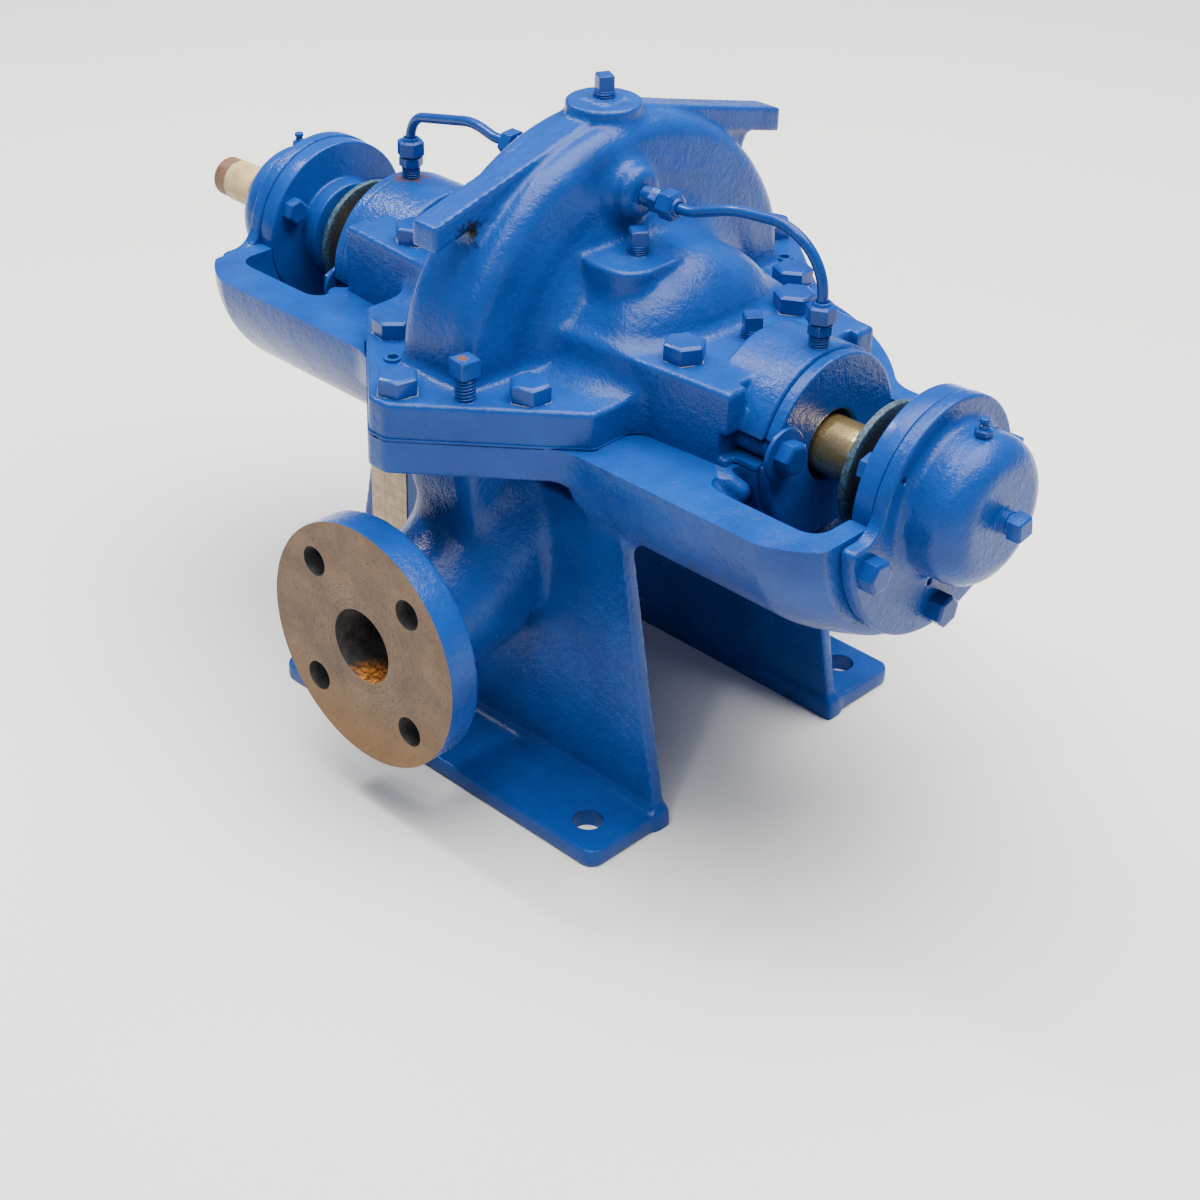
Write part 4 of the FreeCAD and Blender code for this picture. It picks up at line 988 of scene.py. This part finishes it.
def soften(points, steps=4):
    """Profile of (radius, height, corner radius) with an arc at each corner that has one."""
    result = []
    for i, (r, z, corner) in enumerate(points):
        if corner == 0:
            result.append((r, z))
            continue
        here = Vector((r, z))
        before = (Vector(points[i - 1][:2]) - here).normalized()
        after = (Vector(points[(i + 1) % len(points)][:2]) - here).normalized()
        half = before.angle(after) / 2
        centre = here + (before + after).normalized() * corner / math.sin(half)
        start, end = (here + d * corner / math.tan(half) - centre for d in (before, after))
        for k in range(steps + 1):
            spoke = start.lerp(end, k / steps).normalized() * corner
            result.append(tuple(centre + spoke))
    return result


def turn(bm, where, points, around=64, open_bore=False):
    """Lathe a profile of (radius, height, corner radius) points."""
    skin(bm, where, [circle(max(r, 1e-5), z, around) for r, z in soften(points)], 0, open_bore)


def disc(bm, where, lower, upper, around=64):
    """Lathe a disc from its lower and upper edge, each as (radius, height, corner radius)."""
    turn(bm, where, [(0.0, lower[1], 0), lower, upper, (0.0, upper[1], 0)], around)


def raised(where, height):
    """A place further along its own Z axis."""
    return where @ Matrix.Translation((0, 0, height))


def outline(sides, flats, corner, steps=3):
    """Regular outline with round corners."""
    reach = (flats / 2 - corner) / math.cos(math.pi / sides)
    points = []
    for i in range(sides):
        for k in range(-steps, steps + 1):
            middle = 2 * math.pi * i / sides
            angle = middle + k / steps * math.pi / sides
            points.append((reach * math.cos(middle) + corner * math.cos(angle),
                           reach * math.sin(middle) + corner * math.sin(angle)))
    return points


def head(bm, where, sides, flats, height, crown=0.95, taper=0.0, crack=True):
    """Bolt or plug head whose top corners are turned off, on a thin line of split paint."""
    shape = outline(sides, flats, 0.0007)
    turned = flats / 2 * crown
    soft = 0.00035
    rim = [(x * (1 - taper), y * (1 - taper), height - max(0.0, math.hypot(x, y) - turned) * 0.55)
           for x, y in shape]
    top = [(x * turned / math.hypot(x, y), y * turned / math.hypot(x, y)) for x, y in shape]
    skin(bm, where, [[(x, y, 0.0) for x, y in shape],
                     [(x, y, z - soft) for x, y, z in rim],
                     [(x * (1 - soft / turned), y * (1 - soft / turned), z) for x, y, z in rim],
                     [(x * 0.99, y * 0.99, height) for x, y in top],
                     [(x * 0.85, y * 0.85, height) for x, y in top]])
    if crack:
        wide = 1 + 0.0009 / flats
        skin(bm, where, [[(x * wide, y * wide, z) for x, y in shape] for z in (-0.0002, 0.0003)], 1)


def thread(bm, where, low, high, radius, pitch=0.00175, depth=0.0010, around=28):
    """Helical thread with rounded crests, thick with paint."""
    rows = max(3, round((high - low) / pitch * 7))
    rings = []
    for j in range(rows + 1):
        z = low + (high - low) * j / rows
        ring = []
        for i in range(around):
            phase = (z / pitch - i / around) % 1.0
            r = radius - depth * (1 - math.sin(math.pi * phase) ** 0.8)
            angle = 2 * math.pi * i / around
            ring.append((r * math.cos(angle), r * math.sin(angle), z))
        rings.append(ring)
    skin(bm, where, rings)


def plug(bm, where, radius, stand_off, flats, height):
    """Square head pipe plug: threaded stub, bead of paint at its foot, neck ring and tapered head."""
    thread(bm, where, -0.001, stand_off - 0.001, radius, 0.0014, 0.0007)
    neck = radius * 0.93
    disc(bm, where, (radius + 0.0016, -0.0003, 0), (radius + 0.0008, 0.0007, 0.0003), 40)
    disc(bm, where, (neck, stand_off - 0.0018, 0.0004), (neck, stand_off + 0.0004, 0.0004), 40)
    head(bm, raised(where, stand_off), 4, flats, height, 1.12, 0.03, False)


def dressed(name, mesh, replaced, materials, body="pump", angle=35.0):
    """Finish a piece: smooth it, place it, and let it stand for its solid on its body."""
    smooth(mesh, angle)
    piece = place(name, mesh, *materials)
    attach(piece, body)
    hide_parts(*replaced)
    return piece


def plug_set(node, places, direction, spin, flats, height, radius=0.0066, stand_off=0.0055):
    """Plugs of one node, as one piece."""
    bm = bmesh.new()
    for at in places:
        plug(bm, stand(at, direction, spin), radius, stand_off, flats, height)
    dressed(node + "_set", from_bmesh(node, bm), [node], bolts)


def mirror_end(mesh):
    """Mirror a mesh to the drive end of the pump."""
    mesh.transform(Matrix.Scale(-1, 4, (1, 0, 0)))
    mesh.flip_normals()


def turn_end(mesh):
    """Turn a mesh half round to the drive end of the pump."""
    mesh.transform(Matrix.Rotation(math.pi, 4, "Z"))


# Fasteners

@meshed
def casing_bolts(bm):
    """Heads of the ten bolts of the split, each turned as its wrench left it."""
    places = [(0.0, side * TIP_BOLT_Y, FLANGE_TOP, 0.30) for side in (-1, 1)]
    for sx in (-1, 1):
        for sy in (-1, 1):
            places.append((sx * SIDE_BOLT[0], sy * SIDE_BOLT[1], FLANGE_TOP, 0.2 + sx * 0.3 + sy * 0.12))
            places.append((sx * BLOCK_BOLT[0], sy * BLOCK_BOLT[1], BLOCK_TOP, 0.5 - sx * 0.2 + sy * 0.26))
    for x, y, z, spin in places:
        head(bm, stand((x, y, z), (0, 0, 1), spin), 6, 0.022, 0.011)


@meshed
def jackscrews(bm):
    """Square headed screw on either side of the split flange's tips, its thread in view."""
    for sign in (-1, 1):
        where = stand((-sign * JACK_AT[0], sign * JACK_AT[1], FLANGE_TOP), (0, 0, 1), 0.63)
        thread(bm, where, -0.012, 0.0155, JACK_R, 0.0021, 0.0014, 40)
        disc(bm, where, (JACK_R + 0.0010, -0.0003, 0), (JACK_R + 0.0003, 0.0005, 0.0002))
        head(bm, raised(where, 0.015), 4, 0.0130, 0.0100, 1.30, 0.0, False)


@meshed
def gland_bolts(bm):
    """Threaded stud, wide washer and hexagon head on each side of a gland."""
    for side, spin in ((-1, 0.35), (1, 0.1)):
        where = stand((GLAND_FACE, side * STUD_AT[0], -side * STUD_AT[1]), (1, 0, 0), spin)
        thread(bm, where, -0.029, 0.0005, STUD_R, 0.0018, 0.0010)
        disc(bm, where, (0.0158, 0.0, 0.0005), (0.0158, 0.0026, 0.0008))
        head(bm, raised(where, 0.0026), 6, 0.0175, 0.009, crack=False)


@meshed
def bearing_bolts(bm):
    """Three heads on a bearing cover and one on the housing behind it."""
    for number, angle in enumerate(COVER_BOLT_ANGLES):
        y, z = (COVER_BOLT_CIRCLE * f(math.radians(angle)) for f in (math.cos, math.sin))
        head(bm, stand((COVER_FACE, y, z), (1, 0, 0), 0.45 + 0.35 * number), 6, 0.0172, 0.0095, crack=False)
    y, z = (0.045 * f(math.radians(151)) for f in (math.cos, math.sin))
    head(bm, stand((HOUSING_START, y, z), (-1, 0, 0), 0.3), 6, 0.015, 0.007, crack=False)


def fitting(bm, at, direction, spin):
    """Threaded stub, thin hexagon, neck and tube nut with a turned nose."""
    where = stand(at, direction, spin)
    thread(bm, where, -0.004, 0.0082, 0.006, 0.0016, 0.0009)
    head(bm, raised(where, 0.008), 6, 0.0135, 0.0065, crack=False)
    disc(bm, where, (0.005, 0.012, 0), (0.005, 0.018, 0), 32)
    nut = raised(where, 0.0153) @ Matrix.Rotation(0.4, 4, "Z")
    head(bm, nut, 6, 0.0155, 0.0095, 0.93, crack=False)
    turn(bm, nut, [(0.0, 0.009, 0), (0.0058, 0.009, 0), (0.0050, 0.0112, 0.0006), (0.0036, 0.0112, 0.0003),
                   (0.0036, 0.009, 0)], 32)


@meshed
def tube_fittings(bm):
    """Fittings at both ends of a flush tube, on the volute's boss and on the collar."""
    fitting(bm, (TAP_FACE, *TAP_AT), (1, 0, 0), 0.2)
    fitting(bm, (COLLAR_TAP_X, 0.0, COLLAR_R), (0, 0, 1), 0.1)


@meshed
def grease_nipples(bm):
    """A nipple on top of each bearing cap: hexagon foot, stem and ball end."""
    for side in (-1, 1):
        where = stand((side * 0.279, 0, CAP_R), (0, 0, 1), 0.3)
        head(bm, raised(where, 0.0004), 6, 0.009, 0.004, crack=False)
        turn(bm, where, [(0.0, -0.003, 0), (0.0028, -0.003, 0), (0.0028, 0.0062, 0.0008),
                         (0.0019, 0.0068, 0.0003), (0.0031, 0.0088, 0.0006), (0.0027, 0.0106, 0.0009),
                         (0.0, 0.0109, 0)], 28)


# Bearing ends, glands and rotor

def cover(x, y, z, edge):
    """Bearing cover: round rim over a wider foot with hollow shoulders, and a domed cap."""
    foot = meet(hyp(y, z) - 0.082, z + 0.003, 0.004)
    plan = join(hyp(y, z) - COVER_R, foot, 0.014)
    flange = meet(plan, between(x, COVER_START, COVER_FACE), edge)
    cap = meet(hyp(y, z) - CAP_R, x - CAP_END, 0.017)
    body = join(flange, np.maximum(cap, COVER_START - x), 0.006)
    for across, up in COVER_TAPS:
        body = meet(body, 0.0023 - hyp(y - across, z - up), 0.0004)
    return body


def cover_mesh(name, bore):
    """Bearing cover, with a hole and sharper edges where the shaft comes through."""
    edge = 0.0008 if bore else 0.0018
    step = 0.0010
    cast = Casting((COVER_START - 0.004, -0.086, -0.086), (CAP_END + 0.004, 0.086, 0.062), step)
    cast.add(lambda x, y, z: cover(x, y, z, edge), (0.25, -0.086, -0.086), (0.30, 0.086, 0.062))
    if bore:
        cast.cut(lambda x, y, z: hyp(y, z) - bore + 0 * x, (0.25, -0.02, -0.02), (0.305, 0.02, 0.02), 0.001)
    return cast.mesh(name)


def gland(x, y, z):
    """Gland ring with an open slot each side for its bolts."""
    ring = drum(x, y, z, GLAND_R, GLAND_START, GLAND_FACE, 0.0014)
    nose = drum(x, y, z, 0.0285, 0.161, GLAND_START + 0.001, 0)
    body = np.minimum(ring, nose)
    return meet(meet(body, -stud_slot(x, y, z), 0.0008), GLAND_BORE_R - hyp(y, z), 0.0012)


def gland_mesh():
    """Mesh of a gland, at the outer end."""
    step = 0.0008
    cast = Casting((0.157, -0.058, -0.058), (0.187, 0.058, 0.058), step)
    cast.add(gland, (0.157, -0.058, -0.058), (0.187, 0.058, 0.058))
    return cast.mesh("gland")


@meshed
def bearing_housing(bm):
    """Round bearing box in the arm end, with a hub towards the gland."""
    turn(bm, stand((0, 0, 0), (1, 0, 0)), [
        (0.0171, ARM_END, 0), (HOUSING_R, ARM_END, 0.0005), (HOUSING_R, HOUSING_START, 0.0015),
        (HUB_R, HOUSING_START, 0.0020), (HUB_R, 0.2275, 0.0015), (0.0171, 0.2275, 0.0008)],
        128, open_bore=True)


@meshed
def slinger(bm, x):
    """Rubber disc that starts at x, with a short hub towards the bearing."""
    turn(bm, stand((0, 0, 0), (1, 0, 0)), [
        (0.01735, x, 0), (SLINGER_R, x, 0.0009), (0.0396, x + 0.0044, 0.0009), (0.0200, x + 0.0044, 0.0004),
        (0.0190, x + 0.0059, 0.0006), (0.01735, x + 0.0059, 0)], 96, open_bore=True)


@meshed
def shaft(bm):
    """Turned shaft with a centre hole and broken edges at its bare end."""
    turn(bm, stand((0, 0, 0), (1, 0, 0)), [
        (0.0, -0.3545, 0), (0.0030, -0.3580, 0), (0.0036, SHAFT_TIP, 0), (0.0136, SHAFT_TIP, 0.0014),
        (0.0136, -0.3470, 0), (SHAFT_R, -0.3465, 0), (SHAFT_R, 0.2720, 0.0010), (0.0, 0.2720, 0)], 96)


@meshed
def wrap(bm):
    """Band of tape with uneven ends and a lapped seam."""
    around, along = 96, 14
    low, high = TAPE_ENDS
    rings = []
    for j in range(along + 1):
        share = j / along
        ring = []
        for i in range(around):
            angle = 2 * math.pi * i / around
            ragged = 0.0006 * math.sin(3 * angle + 1) + 0.0003 * math.sin(11 * angle)
            x = low + (high - low) * share
            x += max(ragged, 0.0) if share < 0.5 else min(-ragged, 0.0)
            lap = 0.00012 if (angle + share * 1.4) % (2 * math.pi) < 1.1 else 0.0
            r = SHAFT_R + 0.00015 + lap + 0.00008 * math.sin(5 * angle + 9 * share)
            ring.append((r * math.cos(angle), r * math.sin(angle), x))
        rings.append(ring)
    inner = [circle(SHAFT_R + 0.00001, z, around) for z in (high - 0.0004, low + 0.0004)]
    skin(bm, stand((0, 0, 0), (1, 0, 0)), rings + inner, open_bore=True)


@meshed
def nameplate(bm):
    """Plate with round corners and four rivets, its lettering left off."""
    (half_w, half_h), corner = PLATE_HALF, 0.002
    shape = []
    for sx, sz, start in ((1, 1, 0), (-1, 1, 90), (-1, -1, 180), (1, -1, 270)):
        for k in range(4):
            angle = math.radians(start + 30 * k)
            shape.append((sx * (half_w - corner) + corner * math.cos(angle),
                          sz * (half_h - corner) + corner * math.sin(angle)))
    face = Matrix.Translation((PLATE_AT[0], -WEB_Y[1], PLATE_AT[1]))
    where = face @ Matrix.Rotation(math.pi / 2, 4, "X")
    skin(bm, where, [[(x, z, h) for x, z in shape] for h in (0.0, 0.0006)])
    for sx in (-1, 1):
        for sz in (-1, 1):
            rivet = where @ Matrix.Translation((sx * 0.0135, sz * 0.028, 0.0005))
            disc(bm, rivet, (0.0013, 0.0, 0), (0.0011, 0.0005, 0.0003), 16)


# Build

cast_paint = paint("cast_paint", CAST_BLUE, 1.0, (
    ((0.0095, -0.1155, SHAFT_Z + 0.1045), 0.0098, SOOT),
    ((0.0095, -0.1195, SHAFT_Z + 0.0990), 0.0052, SOOT),
    ((0.0120, -0.1240, SHAFT_Z + 0.0800), 0.0018, RUST),
    ((-COLLAR_TAP_X, 0.0, SHAFT_Z + COLLAR_R), 0.0115, RUST)))
smooth_paint = paint("smooth_paint", CAST_BLUE, 0.45)
bolt_paint = paint("bolt_paint", BOLT_BLUE, 0.35, (
    ((JACK_AT[0] - 0.001, -JACK_AT[1] - 0.001, SHAFT_Z + FLANGE_TOP + 0.0250), 0.0040, BOLT_RUST),))
tube_paint = paint("tube_paint", TUBE_BLUE, 0.25)
bolts = [bolt_paint, crack_line()]
rubber_skin = rubber()
steel = rusty_steel()


def add_dowel_rings(mesh):
    """Rims of the two spring dowels that stand out of the upper flange."""
    bm = bmesh.new()
    bm.from_mesh(mesh)
    for sign in (-1, 1):
        turn(bm, stand((sign * DOWEL_AT[0], sign * DOWEL_AT[1], FLANGE_TOP), (0, 0, 1)), [
            (0.0031, -0.010, 0), (0.0055, -0.010, 0), (0.0055, 0.0020, 0.0004), (0.0031, 0.0020, 0.0004)],
            32, open_bore=True)
    bm.to_mesh(mesh)
    bm.free()


def in_hole(face):
    """Whether a face is the wall of the waterway or of a pipe bolt hole."""
    c = face.center
    holes = [(0.0, -PIPE_DROP, PIPE_BORE_R, 0.08)]
    holes += [(x, z, PIPE_HOLE_R, 0.165) for x, z in pipe_hole_places()]
    return abs(face.normal.y) < 0.3 and any(
        abs(c.y) > start and abs(math.hypot(c.x - x, c.z - z) - r) < 0.0006 for x, z, r, start in holes)


def finished_casting(name, cast, tools, limit):
    """Mesh of a whole casing half, machined and then thinned to a limit of triangles."""
    whole = mirrored(cast)
    casting_slots(whole)
    return thinned(name, drill(name, whole.mesh(name + "_cast"), *tools), limit)


upper_mesh = finished_casting("upper_shell", upper_casting(), upper_tools(), 180000)
add_dowel_rings(upper_mesh)
dressed("upper_shell", upper_mesh, ["upper_casing"], [cast_paint], angle=50)

lower_mesh = finished_casting("lower_shell", lower_casting(), lower_tools(), 190000)
for face in lower_mesh.polygons:
    if abs(face.center.y) > PIPE_FACE - 0.00003 and abs(face.normal.y) > 0.9:
        face.material_index = 1
    elif in_hole(face):
        face.material_index = 2
iron = [cast_paint, turned_face(), bore_skin()]
dressed("lower_shell", lower_mesh, ["lower_casing"], iron, angle=50)

dressed("casing_bolt_heads", casing_bolts(), ["casing_bolts"], bolts)
dressed("jackscrew_pair", jackscrews(), ["jackscrews"], bolts)
dressed("nipple_pair", grease_nipples(), ["grease_nipples"], bolts)
up = (0, 0, 1)
plug_set("top_plug", [(0, 0, BOSS_TOP)], up, 0.31, 0.0095, 0.0095)
pads = [(sign * PAD_PLUG_AT[0], PAD_PLUG_AT[1], PAD_TOP) for sign in (1, -1)]
plug_set("pad_plugs", pads, up, 0.17, 0.0105, 0.0095)
plug_set("block_plugs", [(sign * BLOCK_PLUG_X, 0, BLOCK_TOP) for sign in (1, -1)], up, 0.09, 0.0105, 0.0095)
plug_set("end_plug", [(CAP_END, 0, 0)], (1, 0, 0), 0.95, 0.0122, 0.0090, 0.0070, 0.0058)

for end in ("outer", "drive"):
    for name, mesh, other_end, slot, materials in (
            ("gland", gland_mesh(), turn_end, "cast_paint", [cast_paint]),
            ("gland_bolts", gland_bolts(), turn_end, "fastener_paint", bolts),
            ("bearing_bolts", bearing_bolts(), mirror_end, "fastener_paint", bolts),
            ("tube_fittings", tube_fittings(), mirror_end, "fastener_paint", bolts),
            ("bearing_housing", bearing_housing(), mirror_end, "cast_paint", [smooth_paint]),
            ("bearing_cover", cover_mesh("cover", 0.0151 if end == "drive" else 0), mirror_end, "cast_paint",
             [cast_paint])):
        if end == "drive":
            other_end(mesh)
        dressed(end + "_" + name + "_shell", mesh, [end + "_" + name], materials)
    ring = slinger(SLINGER_START[end])
    if end == "drive":
        mirror_end(ring)
    dressed(end + "_slinger_ring", ring, [end + "_slinger"], [rubber_skin], body="rotor")

dressed("shaft_bar", shaft(), ["shaft"], [steel], body="rotor")
dressed("tape_band", wrap(), ["shaft_wrap"], [tape()], body="rotor")
dressed("plate_face", nameplate(), ["nameplate"], [plate_skin()])

# The solids that show as they are: gasket, flush tubes and sleeves
finishes = {"tube_paint": tube_paint, "gasket": smooth_paint, "sleeve_brass": brass()}
for subpart in frame["record"]["subparts"]:
    node = frame["nodes"][subpart["node"]]
    if subpart["material_slot"] in finishes:
        node.data.materials.clear()
        node.data.materials.append(finishes[subpart["material_slot"]])


# Floor, light and camera

def floor():
    """Wide pale ground, which isn't part of the pump."""
    bm = bmesh.new()
    bmesh.ops.create_grid(bm, x_segments=2, y_segments=2, size=8.0)
    place("floor", from_bmesh("floor", bm), floor_skin(), lift=False)


def softbox(name, at, aim, size, power, colour=(1, 1, 1)):
    """Rectangular light at a place, turned to what it aims at."""
    light = bpy.data.lights.new(name, "AREA")
    light.shape = "RECTANGLE"
    light.size, light.size_y = size
    light.energy = power
    light.color = colour
    piece = bpy.data.objects.new(name, light)
    piece.location = at
    piece.rotation_euler = (Vector(aim) - Vector(at)).to_track_quat("-Z", "Y").to_euler()
    bpy.context.scene.collection.objects.link(piece)


def studio():
    """Pale room with one wide light overhead, and two small ones for highlights on the gloss."""
    world = bpy.data.worlds.new("studio")
    world.use_nodes = True
    background = world.node_tree.nodes["Background"]
    background.inputs["Color"].default_value = (0.93, 0.95, 1.0, 1)
    background.inputs["Strength"].default_value = 0.28
    bpy.context.scene.world = world
    softbox("top", (0.2, 0.3, 2.8), (0, 0, 0.2), (3.0, 3.0), 310, (1.0, 0.99, 0.97))
    softbox("key", (-1.5, -0.3, 2.1), (0, 0, 0.2), (0.26, 0.26), 34, (1.0, 0.985, 0.96))
    softbox("front", (0.6, -1.9, 2.5), (0, 0, 0.2), (0.20, 0.20), 12)


def camera():
    """The photograph's viewpoint, solved from the shaft ends, flange circles and bearing circles."""
    side, focal, centre = 1200.0, 2221.0, (593.0, 539.0)  # pixels of the photograph
    eye = (0.8343, -0.8866, 0.8390)
    azimuth, elevation, roll = (math.radians(v) for v in (43.226, 31.026, 1.623))
    back = Vector((math.sin(azimuth) * math.cos(elevation), -math.cos(azimuth) * math.cos(elevation),
                   math.sin(elevation)))
    right = (-back).cross(Vector((0, 0, 1))).normalized()
    up = right.cross(-back)
    x_axis = right * math.cos(roll) + up * math.sin(roll)
    y_axis = up * math.cos(roll) - right * math.sin(roll)
    data = bpy.data.cameras.new("camera")
    data.sensor_width = 36.0
    data.lens = focal / side * 36.0
    data.shift_x = (side / 2 - centre[0]) / side
    data.shift_y = (centre[1] - side / 2) / side
    data.clip_start = 0.01
    piece = bpy.data.objects.new("camera", data)
    turned = Matrix((x_axis, y_axis, back)).transposed().to_4x4()
    piece.matrix_world = Matrix.Translation(eye) @ turned
    bpy.context.scene.collection.objects.link(piece)
    bpy.context.scene.camera = piece


floor()
studio()
camera()
